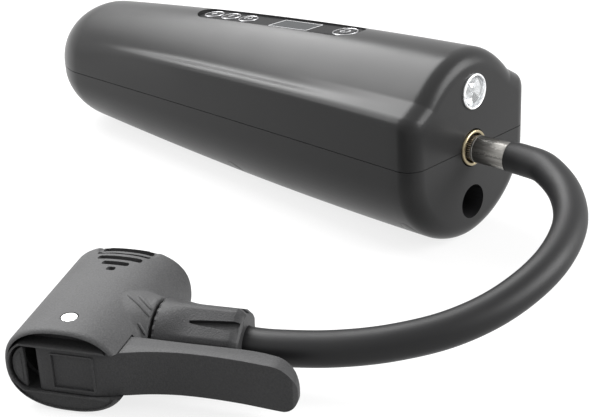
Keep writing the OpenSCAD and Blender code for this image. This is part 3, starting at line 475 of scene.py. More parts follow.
CHIP_GLOW = {"Emission Color": (1, 0.98, 0.95, 1), "Emission Strength": 2.5}
case_satin = moulded("satin_case_plastic", (0.024, 0.024, 0.0242), 0.3, 0.25, 0.004, 0.05, 0.15)
hose_rubber = moulded("hose_rubber", (0.0085, 0.0085, 0.009), 0.46, 0.3, 0.008, 0.12, 0.26)
chuck_nylon = moulded("chuck_nylon", (0.056, 0.056, 0.057), 0.6, 0.45, 0.08, 0.34, 0.25)
lever_nylon = moulded("lever_nylon", (0.038, 0.038, 0.039), 0.55, 0.45, 0.08, 0.34, 0.26)
nut_nylon = moulded("nut_nylon", (0.029, 0.029, 0.03), 0.5, 0.4, 0.08, 0.34, 0.22)
black_plastic = moulded("black_socket_plastic", (0.012, 0.012, 0.013), 0.45, 0.3, 0.01, 0.1)
strip_gloss = moulded("glossy_strip", (0.016, 0.016, 0.0165), 0.22, 0.6, 0.002, 0.05, 0.012)
display_tint = moulded("display_tint", (0.038, 0.04, 0.042), 0.16, 0.8, 0.001, 0.03, 0.02)
key_gloss = moulded("key_gloss", (0.02, 0.02, 0.021), 0.22, 0.5, 0.002, 0.05, 0.02)
white_print = moulded("white_print", (0.42, 0.42, 0.43), 0.45, 0.12, 0.004, 0.03, 0.3)
soft_rubber = moulded("seal_rubber", (0.02, 0.02, 0.02), 0.6, 0.2, 0.015, 0.15)
gear_nylon = moulded("gear_nylon", (0.72, 0.69, 0.6), 0.42, 0.4, 0.01, 0.04)
blue_sleeve = moulded("cell_sleeve", (0.05, 0.16, 0.42), 0.3, 0.9, 0.006, 0.08)
sensor_grey = moulded("sensor_grey", (0.2, 0.2, 0.21), 0.5, 0.3, 0.01, 0.08)
display_foil = moulded("display_foil", (0.09, 0.1, 0.1), 0.3, 0.4, 0.003, 0.05)
air_tube_plastic = moulded("air_tube_plastic", (0.55, 0.56, 0.56), 0.3, 0.5, 0.01, 0.05)
cast_aluminium = metal("cast_aluminium", (0.58, 0.59, 0.6), 0.42, 0.35, 0.03, stain_and_painted_reflection=0.15)
steel = metal("bright_steel", (0.68, 0.68, 0.69), 0.24, 0.08, 0.004, (1, 1, 6))
ring_satin = metal("key_ring_satin", (0.42, 0.42, 0.43), 0.34, 0.3, 0.003, stain_and_painted_reflection=0.1)
neck_metal = metal("ribbed_neck", (0.9, 0.84, 0.78), 0.36, 0.12, 0.01, stain_and_painted_reflection=0.2)
pin_zinc = metal("pin_zinc", (0.8, 0.8, 0.79), 0.5, 0.3, 0.006, stain_and_painted_reflection=0.06)
chrome = metal("chrome_ring", (0.93, 0.94, 0.95), 0.26, 0.5, 0.001, stain_and_painted_reflection=0.02)
# Strong patches drawn out along the sleeve: painted reflection streaks.
nickel = metal("nickel_sleeve_painted_streaks", (0.35, 0.34, 0.32), 0.28, 0.12, 0.02, (0.15, 1, 0.15), 0.6, 900,
               (1, 0.05, 1))
brass = metal("brass_fitting", (0.4, 0.34, 0.22), 0.3, 0.12, 0.005, (1, 5, 1), 0.3)
# Strong bright and dark patches on the mirror: painted reflections.
mirror = metal("faceted_mirror_painted_reflections", (0.78, 0.79, 0.8), 0.13, 0.8, 0.004, stain_and_painted_reflection=0.5, patches=700)
# A dark finish for a few facets: a painted reflection of something dark.
mirror_painted_dark_reflection = metal("reflector_painted_dark_reflection", (0.16, 0.165, 0.17), 0.2, 0.8, 0.004, stain_and_painted_reflection=0.5, patches=700)
lens_clear = moulded("lens_plastic", (0.85, 0.87, 0.88), 0.08, 0.9, 0.012, 0.04, blotch=150, Alpha=0.16)
chip_yellow = moulded("light_chip", (0.85, 0.78, 0.42), 0.4, 0.15, 0.01, 0.05, **CHIP_GLOW)
board_green = printed_board("printed_board")


# ---- Hose

HOSE_EXIT = ON_BODY @ Vector((0, -FERRULE_LEN, 0))
STRAIGHT_OUT, STRAIGHT_IN = 5, 8
HOSE_ROUTE = (
    HOSE_EXIT, ON_BODY @ Vector((0, -FERRULE_LEN - STRAIGHT_OUT, 0)),
    (-1, -113, 32), (-8, -124, 30), (-20, -133, 27.5), (-36, -137.5, 24), (-52, -136, 19.5),
    (-66, -130.5, 16), (-78, -121.5, 13.5), (-88, -111, 12),
    ON_CHUCK @ Vector((BRANCH_X, -NUT_END - STRAIGHT_IN, 0)), ON_CHUCK @ Vector((BRANCH_X, -NUT_END, 0)))
END_ROUND, ROUND_POWER, ROUND_ROWS = 0.9, 2.2, 4
hose_path = through(HOSE_ROUTE, 10)
hose_line = [hose_path[0]] + [hose_path[0].lerp(hose_path[1], t) for t in (0.1, 0.3, 0.6)] + hose_path[1:]


def hose_radius(t):
    """The hose's end edge is slightly rounded where it meets the sleeve."""
    start = t * (len(hose_line) - 1)
    return HOSE_D / 2 - END_ROUND * max(0, 1 - start / ROUND_ROWS) ** ROUND_POWER


hose = sweep("rubber_hose", hose_line, hose_radius, 40, hose_path[1] - hose_path[0],
             ON_CHUCK.to_3x3() @ Vector((0, 1, 0)))
finished(smooth(hose, 60), hose_rubber, "hose", "air_hose")


# ---- Shell halves

def even(points, spacing):
    """A dense polyline thinned so that its spacing follows spacing(x, z)."""
    out = [points[0]]
    gone = 0.0
    for a, b in zip(points, points[1:]):
        gone += dist(a, b)
        if gone >= spacing(*b):
            out.append(b)
            gone = 0.0
    if dist(out[-1], points[-1]) > 1e-6:
        out.append(points[-1])
    return out


def softened(points, reach):
    """A dense polyline with its corners rounded, its two ends kept."""
    for _ in range(reach):
        points = ([points[0]] + [((a[0] + 2 * b[0] + c[0]) / 4, (a[1] + 2 * b[1] + c[1]) / 4)
                  for a, b, c in zip(points, points[1:], points[2:])] + [points[-1]])
    return points


def dense(corners, step=0.1):
    """A polyline with many points between its corners."""
    out = []
    for a, b in zip(corners, corners[1:]):
        n = max(1, round(dist(a, b) / step))
        out += [(a[0] + (b[0] - a[0]) * i / n, a[1] + (b[1] - a[1]) * i / n) for i in range(n)]
    return out + [corners[-1]]


SEAM_CHAMFER, SEAM_DEPTH, LAST_STATION = 0.13, 0.35, 88.5
SHOULDER_IN, SHOULDER_LOW, SOFTENING = 12, 8, 90
FINE_X, FINE_Z, FINE_SPACING, CROWN_SPACING, BELLY_SPACING = 19, 10, 0.45, 1.3, 1.1
BODY_ROWS, FILLET_ROWS, CAP_ROWS, FACE_INSET = 44, 12, 30, 0.985
CUT_OUT, CUT_IN, PANEL_GAP = -3, END_WALL + 4, 0.15
MELT_START, MELT_END = 100.0, 170.0
BAND_OUT, BAND_IN = Vector((27.6, 15.95)), Vector((21.8, 19.2))
BAND_START, BAND_FADED = 8.0, 62.0


def upper_outline():
    """Half of the crown's section, from the seam at +X up to the top line."""
    r = HALF_W - NOTCH_X
    shoulder = [(NOTCH_X + r * (1 - LEDGE) + r * LEDGE * cos(a),
                 SIDE_UP + (NOTCH_Z - LEDGE_DROP - SIDE_UP) * sin(a)) for a in angles(0, 90, 10)]
    crown = [(x, NOTCH_Z + (CROWN_H - NOTCH_Z) * (1 - (x / NOTCH_X) ** CROWN_POWER))
             for x in (NOTCH_X * (1 - i / 60) for i in range(61))]
    line = dense([(HALF_W, SEAM_CHAMFER)] + shoulder + crown)
    near = [p for p in line if p[1] > SHOULDER_LOW and p[0] > SHOULDER_IN]
    flat = len([p for p in line if p[1] <= SHOULDER_LOW])
    line = line[:flat] + softened(near, SOFTENING) + line[flat + len(near):]
    return [(HALF_W, 0)] + even(
        line, lambda x, z: FINE_SPACING if x > FINE_X and z > FINE_Z else CROWN_SPACING)


def lower_outline():
    """Half of the belly's section, from the seam at +X down to the bottom line."""
    power = 2 / BELLY_POWER
    curve = [(HALF_W * cos(a) ** power, -SIDE_DOWN - (BELLY_H - SIDE_DOWN) * sin(a) ** power)
             for a in angles(0, 90, 90)]
    curve[-1] = (0, -BELLY_H)
    line = dense([(HALF_W, -SEAM_CHAMFER)] + curve, 0.2)
    return [(HALF_W, 0)] + even(line, lambda x, z: BELLY_SPACING)


def stations():
    """Where the sections stand along the body, with their scale."""
    out = [(END_FILLET * (1 - cos(a)), 1 - END_FILLET * (1 - sin(a)) / HALF_W)
           for a in angles(0, 90, FILLET_ROWS)]
    near, far = END_FILLET, BODY_LEN - CAP_LEN
    out += [(near + (far - near) * i / BODY_ROWS, 1) for i in range(1, BODY_ROWS + 1)]
    for a in angles(0, LAST_STATION, CAP_ROWS)[1:]:
        v = sin(a)
        out.append((far + CAP_LEN * v, (1 - v ** CAP_POWER) ** (1 / CAP_POWER)))
    return out


def ledge_filled(x, z, y):
    """Height of a point of the upper section: at the light end the ledge is a sloping band."""
    along = (BAND_OUT.x - abs(x)) / (BAND_OUT.x - BAND_IN.x)
    if not 0 < along < 1:
        return z
    band_z = BAND_OUT.y + along * (BAND_IN.y - BAND_OUT.y)
    return z + (1 - eased(y, BAND_START, BAND_FADED)) * max(band_z - z, 0)


def shoulder_melted(x, z, y):
    """A point of the upper section, drawn to a plain oval towards the far end."""
    melted = eased(y, MELT_START, MELT_END)
    a = atan2(z / CROWN_H, abs(x) / HALF_W)
    oval_x, oval_z = copysign(HALF_W * cos(a), x), CROWN_H * sin(a)
    return x + (oval_x - x) * melted, z + (oval_z - z) * melted


def body_skin(name, half, h, b):
    """The outer skin of one shell half, with its end face and its tip, open along the seam."""
    section = half + [(-x, z) for x, z in reversed(half[:-1])]
    places = stations()
    edge = [Vector((HALF_W * s * x_scale(y), y)) for y, s in places]
    points, n = [], len(section)
    for i, (y, s) in enumerate(places):
        step = edge[min(i + 1, len(edge) - 1)] - edge[max(i - 1, 0)]
        inward = Vector((-step.y, step.x)).normalized() if i else Vector((0, 1))
        for j, (x, z) in enumerate(section):
            if z > 0:
                x, z = shoulder_melted(x, ledge_filled(x, z, y), y)
            seam_z = copysign(min(abs(z), SEAM_CHAMFER), z)
            px, py, pz = x * s * x_scale(y), y, seam_z + (z - seam_z) * s * z_scale(y, h, b)
            if j in (0, n - 1):
                px += copysign(1, px) * inward.x * SEAM_DEPTH
                py += inward.y * SEAM_DEPTH
            points.append((px, py, pz))
    face_edge = [(x * FACE_INSET, y, z * (1 if j in (0, 1, n - 2, n - 1) else FACE_INSET))
                 for j, (x, y, z) in enumerate(points[:n])]
    points = face_edge + points
    tip = len(points)
    last = tip - n
    points.append((0, BODY_LEN, copysign(SEAM_CHAMFER, half[-1][1])))
    points.append((0, BODY_LEN - SEAM_DEPTH, 0))
    faces = [(a + j, a + n + j, a + n + j + 1, a + j + 1) for a in range(0, last, n) for j in range(n - 1)]
    faces += [(last + j, tip, last + j + 1) for j in range(1, n - 2)]
    faces += [(last, tip + 1, tip, last + 1), (last + n - 2, tip, tip + 1, last + n - 1)]
    for j in range((n - 1) // 2):
        quad = (j, j + 1, n - 2 - j, n - 1 - j)
        faces.append(quad if quad[1] != quad[2] else quad[:2] + quad[3:])
    placed = [ON_BODY @ Vector(p) for p in points]
    for p in placed:
        p.z = max(p.z, 0)
    return mesh_object(name, placed, faces)


def shell_half(name, half, h, b, upward):
    """One half of the case: its skin, turned outwards and given its wall."""
    skin = body_skin(name, half, h, b)
    bm = bmesh.new()
    bm.from_mesh(skin.data)
    bmesh.ops.recalc_face_normals(bm, faces=bm.faces)
    top = max(bm.faces, key=lambda f: f.calc_center_median().z * upward)
    if top.normal.z * upward < 0:
        bmesh.ops.reverse_faces(bm, faces=bm.faces)
    bm.to_mesh(skin.data)
    bm.free()
    return modified(skin, "SOLIDIFY", thickness=WALL * MM, offset=-1, use_even_offset=False, use_rim=True)


def panel_outline(grow, steps=24):
    r = PANEL_W / 2 + grow
    return rounded_bar(-r, PANEL_START - grow, r, PANEL_FAR + grow, r, steps)


def end_hole(r, up=0):
    """A cutter through the light end's wall."""
    return rod("end_hole", r, CUT_OUT, CUT_IN, ON_BODY, at=(0, 0, up))


upper = shell_half("upper_case", upper_outline(), CROWN_H, CROWN_BOW, 1)
boolean(upper, end_hole(OUTLET_R + OUTLET_GAP), end_hole(LIGHT_R - LIGHT_LIP, LIGHT_UP),
        prism("panel_cut", panel_outline(PANEL_GAP), -6, 8, ON_PANEL))
lower = shell_half("lower_case", lower_outline(), BELLY_H, BELLY_BOW, -1)
boolean(lower, end_hole(OUTLET_R + OUTLET_GAP), end_hole(SOCKET_R, -SOCKET_DOWN))


def screw_plugs(case):
    """Plugs over the case screws, flush with the belly; their holes are cut in the case."""
    def well(x, y, r):
        return rod("well", r, -BELLY_H - 6, -HEAD_SEAT, ON_BODY, "Z", (x, y, 0), 40)

    plugs = []
    for x, y in SCREW_PLACES:
        plug = linked("plug", case.data.copy())
        boolean(plug, well(x, y, SCREW_WELL_R - PLUG_GAP), operation="INTERSECT")
        plugs.append(bevel(plug, 0.15, 2))
    boolean(case, *(well(x, y, SCREW_WELL_R) for x, y in SCREW_PLACES))
    return joined("screw_plugs", plugs)


plugs = screw_plugs(lower)
finished(smooth(upper), case_satin, "shell", "upper_shell")
finished(smooth(lower), case_satin, "shell", "lower_shell")
finished(smooth(plugs), case_satin, "shell")


# ---- Control strip

MARK_T, FRAME_OUT, FRAME_LINE = 0.06, 0.1, 0.34
GLASS_TOP, GLASS_GAP, KEY_GAP = -0.05, 0.03, 0.1
BUTTON_PROUD, KEY_RING_W = 0.3, 0.46


def flat_ring(name, outer, inner, low, high):
    """A flat band on the strip, between two outlines of equal length."""
    n = len(outer)
    points = [(x, y, z) for z in (low, high) for line in (outer, inner) for x, y in line]
    faces = []
    for j in range(n):
        k = (j + 1) % n
        faces += [(j, k, n + k, n + j), (2 * n + j, 3 * n + j, 3 * n + k, 2 * n + k),
                  (j, 2 * n + j, 2 * n + k, k), (n + j, n + k, 3 * n + k, 3 * n + j)]
    return clean(mesh_object(name, points, faces, ON_PANEL), 0.0005)


def arc_band(y, r, width, start, turn, low, high):
    """Part of a flat ring on the strip, with square ends."""
    bend = angles(start, start + turn, 40)
    outer, inner = ([(radius * cos(a), y + radius * sin(a)) for a in bend]
                    for radius in (r + width / 2, r - width / 2))
    return prism("arc", outer + inner[::-1], low, high, ON_PANEL)


def display_outline(grow, r, steps):
    """The display window's outline, grown on every side."""
    w, h = DISPLAY_W / 2 + grow, DISPLAY_LEN / 2 + grow
    return rounded_bar(-w, DISPLAY_Y - h, w, DISPLAY_Y + h, r, steps)


def strip_pieces():
    body = prism("control_strip", panel_outline(0), -PANEL_T, 0, ON_PANEL)
    bevel(body, 0.25, 2)
    boolean(body, prism("hole", display_outline(0, 0.3, 2), -3, 3, ON_PANEL),
            *(rod("hole", r + KEY_GAP, -3, 3, ON_PANEL, "Z", (0, y, 0)) for y, r in BUTTON_PLACES))
    finished(smooth(body), strip_gloss, "panel", "control_panel")
    window = prism("display_glass", display_outline(-GLASS_GAP, 0.3, 2), -PANEL_T, GLASS_TOP, ON_PANEL)
    finished(smooth(window), display_tint, "window", "display_window")
    outer, inner = display_outline(FRAME_OUT, 0.4, 3), display_outline(FRAME_OUT - FRAME_LINE, 0.15, 3)
    finished(flat_ring("display_frame", outer, inner, GLASS_TOP, MARK_T), white_print, "panel")


def button_piece(name, y, r):
    """A round key with a softly dished top."""
    top = BUTTON_PROUD
    profile = [(0, top - 0.12), (r * 0.55, top - 0.08), (r - 0.75, top), (r - 0.25, top),
               (r - 0.07, top - 0.07), (r, top - 0.25), (r, -3.1), (r + 0.8, -3.1), (r + 0.8, -3.9),
               (0, -3.9)]
    return smooth(turned(name, profile, ON_PANEL, "Z", 64, (0, y, 0)), 28)


def key_ring(name, y, r):
    """The raised bright ring round a key."""
    inner, outer = r + 0.06, r + KEY_RING_W
    profile = [(inner, -0.2), (inner, 0.12), (inner + 0.1, 0.26), (inner + 0.22, 0.3), (outer - 0.2, 0.26),
               (outer - 0.05, 0.12), (outer, -0.2), (inner, -0.2)]
    return smooth(turned(name, profile, ON_PANEL, "Z", 72, (0, y, 0)), 50)


def button_marks(name, y, r, icon):
    """The printed sign on a key, made of arcs (start and turn) and bars (two corners)."""
    low, high = BUTTON_PROUD - 0.2, BUTTON_PROUD + MARK_T
    half, edge = r * 0.42, 0.17
    level = (-half, -edge, half, edge)
    arcs, bars = {
        "power": ([(125, 290)], [(-edge, half * 0.15, edge, half * 1.35)]),
        "mode": ([(30, 120), (210, 120)], [(-edge, -edge, edge, edge)]),
        "minus": ([], [level]),
        "plus": ([], [level, (-edge, edge + 0.01, edge, half), (-edge, -half, edge, -edge - 0.01)])}[icon]
    parts = [arc_band(y, half, 2 * edge, *arc, low, high) for arc in arcs]
    parts += [block("bar", (x0, y + y0, low), (x1, y + y1, high), ON_PANEL) for x0, y0, x1, y1 in bars]
    return joined(name, parts)


strip_pieces()
for (y, r), body, icon, solid in zip(
        BUTTON_PLACES, ("power_key", "key_1", "key_2", "key_3"), ("power", "mode", "minus", "plus"),
        ("power_button", "small_button_1", "small_button_2", "small_button_3")):
    finished(button_piece(icon + "_key_top", y, r), key_gloss, "button", solid, body=body)
    finished(button_marks(icon + "_mark", y, r, icon), white_print, "button", body=body)
    finished(key_ring(icon + "_ring", y, r), ring_satin, "panel")


# ---- Light

LENS_R = LIGHT_R - 0.66
FACETS = 9
# Facets given a dark finish: a painted reflection.
PAINTED_DARK_REFLECTION_FACETS = (2, 5, 9, 14, 15, 22, 31)


def reflector_piece():
    """The faceted bowl behind the lens, with a few facets given a dark finish: a painted reflection of
    something dark.
    """
    rings = ((LENS_R - 0.02, 0.7), (LENS_R * 0.74, 2.0), (LENS_R * 0.46, 2.4), (1.3, 5.0))
    points, faces = [], []
    for k, (r, depth) in enumerate(rings):
        for i in range(FACETS):
            a = 2 * pi * (i + 0.5 * (k % 2)) / FACETS
            points.append((r * cos(a), depth + 0.5 * ((i + k) % 2), LIGHT_UP + r * sin(a)))
    for k in range(len(rings) - 1):
        for i in range(FACETS):
            a, b = k * FACETS + i, (k + 1) * FACETS + i
            turn = 1 if i < FACETS - 1 else 1 - FACETS
            if k % 2 == 0:
                faces += [(a, b, a + turn), (a + turn, b, b + turn)]
            else:
                faces += [(a, b, b + turn), (a, b + turn, a + turn)]
    bowl = mesh_object("light_reflector_bowl", points, faces, ON_BODY)
    modified(bowl, "SOLIDIFY", thickness=0.25 * MM, offset=0)
    finished(bowl, mirror, "reflector", "light_reflector")
    # The listed facets take the dark finish, a painted reflection.
    bowl.data.materials.append(mirror_painted_dark_reflection)
    both_sides = 2 * len(faces)
    for facet in bowl.data.polygons[:both_sides]:
        if facet.index % len(faces) in PAINTED_DARK_REFLECTION_FACETS:
            facet.material_index = 1


def light_pieces():
    """The bright ring, the lens and the glowing chip, round the bowl."""
    at, back, r = (0, 0, LIGHT_UP), END_WALL + 0.8, LENS_R
    rim = [(r, 1.0), (r, -0.55), (r + 0.08, -0.7), (r + 0.22, -0.76), (LIGHT_R - 0.22, -0.7),
           (LIGHT_R - 0.06, -0.58), (LIGHT_R, -0.4), (LIGHT_R, 0.02), (LIGHT_R - 0.45, 0.02),
           (LIGHT_R - 0.45, back), (r, back), (r, 1.0)]
    ring = smooth(turned("light_ring", rim, ON_BODY, "Y", 96, at), 40)
    finished(ring, chrome, "bright_ring", "light_bezel")
    reflector_piece()
    dome = [(0, -0.55), (r * 0.35, -0.5), (r * 0.7, -0.32), (r - 0.03, -0.05), (r - 0.03, 0.5),
            (r * 0.7, 0.25), (r * 0.35, 0.1), (0, 0.05)]
    lens = smooth(turned("light_lens_dome", dome, ON_BODY, "Y", 64, at), 50)
    finished(lens, lens_clear, "lens", "light_lens")
    chip = [(0, 3.9), (0.6, 4.0), (1.1, 4.35), (1.25, 4.8), (1.25, 5.4), (0, 5.4)]
    finished(smooth(turned("light_chip", chip, ON_BODY, "Y", 32, at), 50), chip_yellow, "lens")


light_pieces()


# ---- Outlet, sleeve and charging socket

BORE_R, BORE_DEEP = OUTLET_R - 1, 5.5
SLEEVE_NECK_R, SLEEVE_RIBS = 3.55, 36


def outlet_pieces():
    """The brass ring in the end wall, the hose's sleeve and the ribs on its neck."""
    r, deep = OUTLET_R, BORE_DEEP + 1
    fitting = [(1, 10), (1, BORE_DEEP), (BORE_R, BORE_DEEP), (BORE_R, -0.35), (BORE_R + 0.12, -0.58),
               (BORE_R + 0.35, -0.7), (r - 0.35, -0.7), (r - 0.12, -0.58), (r, -0.35), (r, deep), (2, deep),
               (2, 10), (1, 10)]
    finished(smooth(turned("outlet_ring", fitting, ON_BODY, "Y", 96)), brass, "brass", "outlet_bushing")

    r, end, neck = FERRULE_R, -FERRULE_LEN, SLEEVE_NECK_R
    sleeve = [(1.5, end), (r - 0.3, end), (r - 0.1, end + 0.1), (r, end + 0.4), (r, -2.4), (r + 0.09, -2.25),
              (r + 0.09, -1.9), (r - 0.1, -1.65), (neck, -1.5), (neck, 4.2), (1.5, 4.2), (1.5, end)]
    finished(smooth(turned("hose_sleeve", sleeve, ON_BODY, "Y", 96), 25), nickel, "sleeve", "hose_ferrule")

    rib = block("rib", (neck - 0.3, -1.45, -0.12), (neck + 0.32, 4.1, 0.12), None)
    bevel(rib, 0.08, 1)
    finished(around("sleeve_ribs", rib, SLEEVE_RIBS, ON_BODY), neck_metal, "brass")


outlet_pieces()


def socket_piece():
    back, recess, jack = END_WALL + SOCKET_DEPTH + 2, END_WALL + SOCKET_RECESS, END_WALL + SOCKET_DEPTH
    inner, outer, lip = SOCKET_R - 0.01, SOCKET_R + 0.1, END_WALL + 0.02
    profile = [(inner, 0.25), (inner, recess - 0.3), (SOCKET_R - 0.3, recess), (3.1, recess),
               (JACK_R, recess + 0.35), (JACK_R, jack), (0, jack), (0, back), (SOCKET_R + 1.2, back),
               (SOCKET_R + 1.2, lip), (outer, lip), (outer, 0.25), (inner, 0.25)]
    socket = smooth(turned("charging_socket_cup", profile, ON_BODY, "Y", 80, (0, 0, -SOCKET_DOWN)))
    finished(socket, black_plastic, "socket", "charging_socket")


socket_piece()


# ---- Chuck

BARREL_POWER, BARREL_ROUND, BARREL_FLARE = 2.4, 1.6, 0.1
COLLAR_END = 16.9
COLLAR_RINGS = ((2, 17, 12.8, 10.9), (6, 16.8, 12.6, 10.8), (9, 16, 12.2, 10.5), (11.5, 14.2, 11.5, 10.2),
                (13.5, 12.2, 10.6, 9.9), (15.3, 10.3, 9.8, 9.6), (COLLAR_END, 9.5, 9.5, 9.5))
VOXEL, SOFTENING_ROUNDS = 0.42, 4
SLOT_GAP, HUB_FRONT, HUB_SIDE, HUB_ROUND = 0.25, 0.6, 7.2, 1.6
WINDOW_LOW, WINDOW_HIGH = (-2, -7.6, -4.5), (2.7, 4.5)
PLUNGER_TRAVEL = 2.2
CAM_MIN = HUB_SIDE - PLUNGER_TRAVEL
SWEEP_R = hypot(PIVOT_X - HUB_FRONT, HUB_SIDE) + 0.4
CHUCK_WALL, PLUG_W = 2.0, 3.3
PLUG_IN = BARREL_W / 2 - CHUCK_WALL - PLUG_W
SEAT_REACH, SEAT_HALF, RECESS_DEEP, PIN_HEAD_R = 14.1, 8.4, 0.8, 2.25
VENT_W, VENT_PITCH, VENT_END = 1.9, 3.0, 1.6
VENT_LENGTHS = (14.5, 15, 12.5, 7.5, 2.4)
RIDGES = (((21.7, 8.9), (16.5, 16.6), 0.5), ((22.1, 11.8), (18.3, 16.6), 0.5),
          ((14.2, 14.4), (13.2, 16.5), 0.42))
RIDGE_SINK = 0.1


def oval(w, h, sides=96):
    """A section of the barrel, between an ellipse and a rectangle."""
    power = 2 / BARREL_POWER
    return [(w / 2 * copysign(abs(c) ** power, c), h / 2 * copysign(abs(s) ** power, s))
            for c, s in circle(sides)]


def barrel_ring(x, inset):
    f = 1 + BARREL_FLARE * x / BARREL_LEN
    return [(x, y, z) for y, z in oval(BARREL_W * f - 2 * inset, BARREL_H - 2 * inset)]


def seat_outline(grow, start):
    """The opening round the lever and its side plug, as far as the round side of the barrel."""
    limit = LEVER_H / 2 + SLOT_GAP + grow
    return [(y, min(max(z, -limit), limit))
            for y, z in oval(2 * (SEAT_REACH + grow), 2 * (SEAT_HALF + grow)) if y > start]


def branch_ring(v, toward_lever, toward_valve, half_h):
    """A ring across the branch, wider on its lever side where the web flows into the barrel."""
    return [(BRANCH_X + (toward_valve if c > 0 else toward_lever) * c, -v, half_h * s)
            for c, s in circle(96)]


def chuck_case():
    """The barrel and its collar as one smooth skin, then hollowed and cut."""
    ends = [(BARREL_ROUND * (1 - cos(a)), BARREL_ROUND * (1 - sin(a))) for a in angles(0, 90, 5)]
    places = ends + [(BARREL_LEN - d, inset) for d, inset in reversed(ends)]
    case = loft("chuck_case", [barrel_ring(x, inset) for x, inset in places], ON_CHUCK)
    collar = loft("collar", [branch_ring(*ring) for ring in COLLAR_RINGS], ON_CHUCK)
    boolean(case, collar, operation="UNION")
    recess = prism("recess", rounded_bar(BARREL_LEN - 4.2, -8.3, BARREL_LEN + 3, 8.3, 2), 4, BARREL_H,
                   ON_CHUCK)
    boolean(recess, loft("recess_floor", [barrel_ring(x, RECESS_DEEP) for x in (10, 30, 46, 60)], ON_CHUCK))
    boolean(case, recess)
    modified(case, "REMESH", mode="VOXEL", voxel_size=VOXEL * MM)
    modified(case, "SMOOTH", factor=0.5, iterations=SOFTENING_ROUNDS)

    half, top, pivot = LEVER_H / 2 + SLOT_GAP, BARREL_H / 2, (PIVOT_X, 0, 0)
    cuts = [
        rod("bore", CHUCK_BORE_R, PIVOT_X, BARREL_LEN + 2, ON_CHUCK, "X"),
        rod("sweep", SWEEP_R, -half, half, ON_CHUCK, "Z", pivot, 96),
        block("slot", (-2, -BARREL_W, -half), (PIVOT_X + 3.6, 0, half), ON_CHUCK),
        block("slot", (-2, -1, -half), (PIVOT_X, 7.4, half), ON_CHUCK),
        prism("seat", seat_outline(0, 6), -2, PIVOT_X, ON_CHUCK, "YZX"),
        prism("cavity", seat_outline(-1, 6), 2.5, PIVOT_X + 7, ON_CHUCK, "YZX"),
        rod("pin_seat", PIN_HEAD_R, top - 0.7, BARREL_H, ON_CHUCK, "Z", pivot, 48),
        rod("pin_seat", PIN_HEAD_R, -BARREL_H, 0.7 - top, ON_CHUCK, "Z", pivot, 48)]
    for side, depth in ((1, 4.5), (-1, 0.7)):
        brow = [(y, z) for y, z in oval(BARREL_W - 2.3, BARREL_H - 1.9) if z * side > 2]
        rim = prism("rim", seat_outline(0.45, -BARREL_W), -3, depth + 1, ON_CHUCK, "YZX")
        cuts.append(boolean(prism("brow", brow, -2, depth, ON_CHUCK, "YZX"), rim))
    for i, length in enumerate(VENT_LENGTHS):
        x = BARREL_LEN - VENT_END - i * VENT_PITCH
        vent = rounded_bar(x - VENT_W / 2, -length / 2, x + VENT_W / 2, length / 2, 0.7, 4)
        cuts.append(prism("vent", vent, CHUCK_BORE_R - 1, BARREL_H, ON_CHUCK))
    return boolean(case, *cuts)


def surface_bar(name, tree, start, end, r):
    """A thin round ridge that follows the surface under a straight line, seen from above."""
    path = []
    for i in range(17):
        u = start[0] + (end[0] - start[0]) * i / 16
        v = start[1] + (end[1] - start[1]) * i / 16
        top = ON_CHUCK @ Vector((u, -v, 0))
        hit = tree.ray_cast(Vector((top.x, top.y, 60)) * MM, -UP)[0]
        path.append(hit / MM - Vector((0, 0, RIDGE_SINK)))
    return sweep(name, path, lambda t: r * (1 - 0.5 * abs(2 * t - 1) ** 6), 10)


def chuck_body_piece():
    case = chuck_case()
    tree = BVHTree.FromObject(case, bpy.context.evaluated_depsgraph_get())
    ridges = [surface_bar("ridge", tree, *ridge) for ridge in RIDGES]
    return smooth(boolean(case, *ridges, operation="UNION"), 35)


finished(chuck_body_piece(), chuck_nylon, "chuck", "chuck_body")


def turned_branch(name, profile, sides=96):
    """A turned piece on the branch: profile points are (radius, distance from the barrel's axis)."""
    return turned(name, [(r, -v) for r, v in profile], ON_CHUCK, "Y", sides, (BRANCH_X, 0, 0))


NUT_START = COLLAR_END + 0.75
NUT_FAR = NUT_END + 0.8
NECK_R, NECK_END = BRANCH_R - 2.2, NUT_START + 0.4
NUT_FLAT = BRANCH_R * 0.905
neck_profile = [(3, 12), (NECK_R, 12), (NECK_R, NECK_END), (3, NECK_END), (3, 12)]
# The neck is black so that the gap between collar and nut is dark: painted shade in the gap.
finished(smooth(turned_branch("chuck_neck", neck_profile)), black_plastic, "chuck")


def nut_radius(turn, v):
    """Round at the near end, growing into a hexagon with soft corners."""
    a = (turn + pi / 6) % (pi / 3) - pi / 6
    hexagon = min(NUT_FLAT / cos(a), BRANCH_R)
    grown = eased(v - NUT_START - 2.5, 0, 7)
    return BRANCH_R * (1 - grown) + hexagon * grown


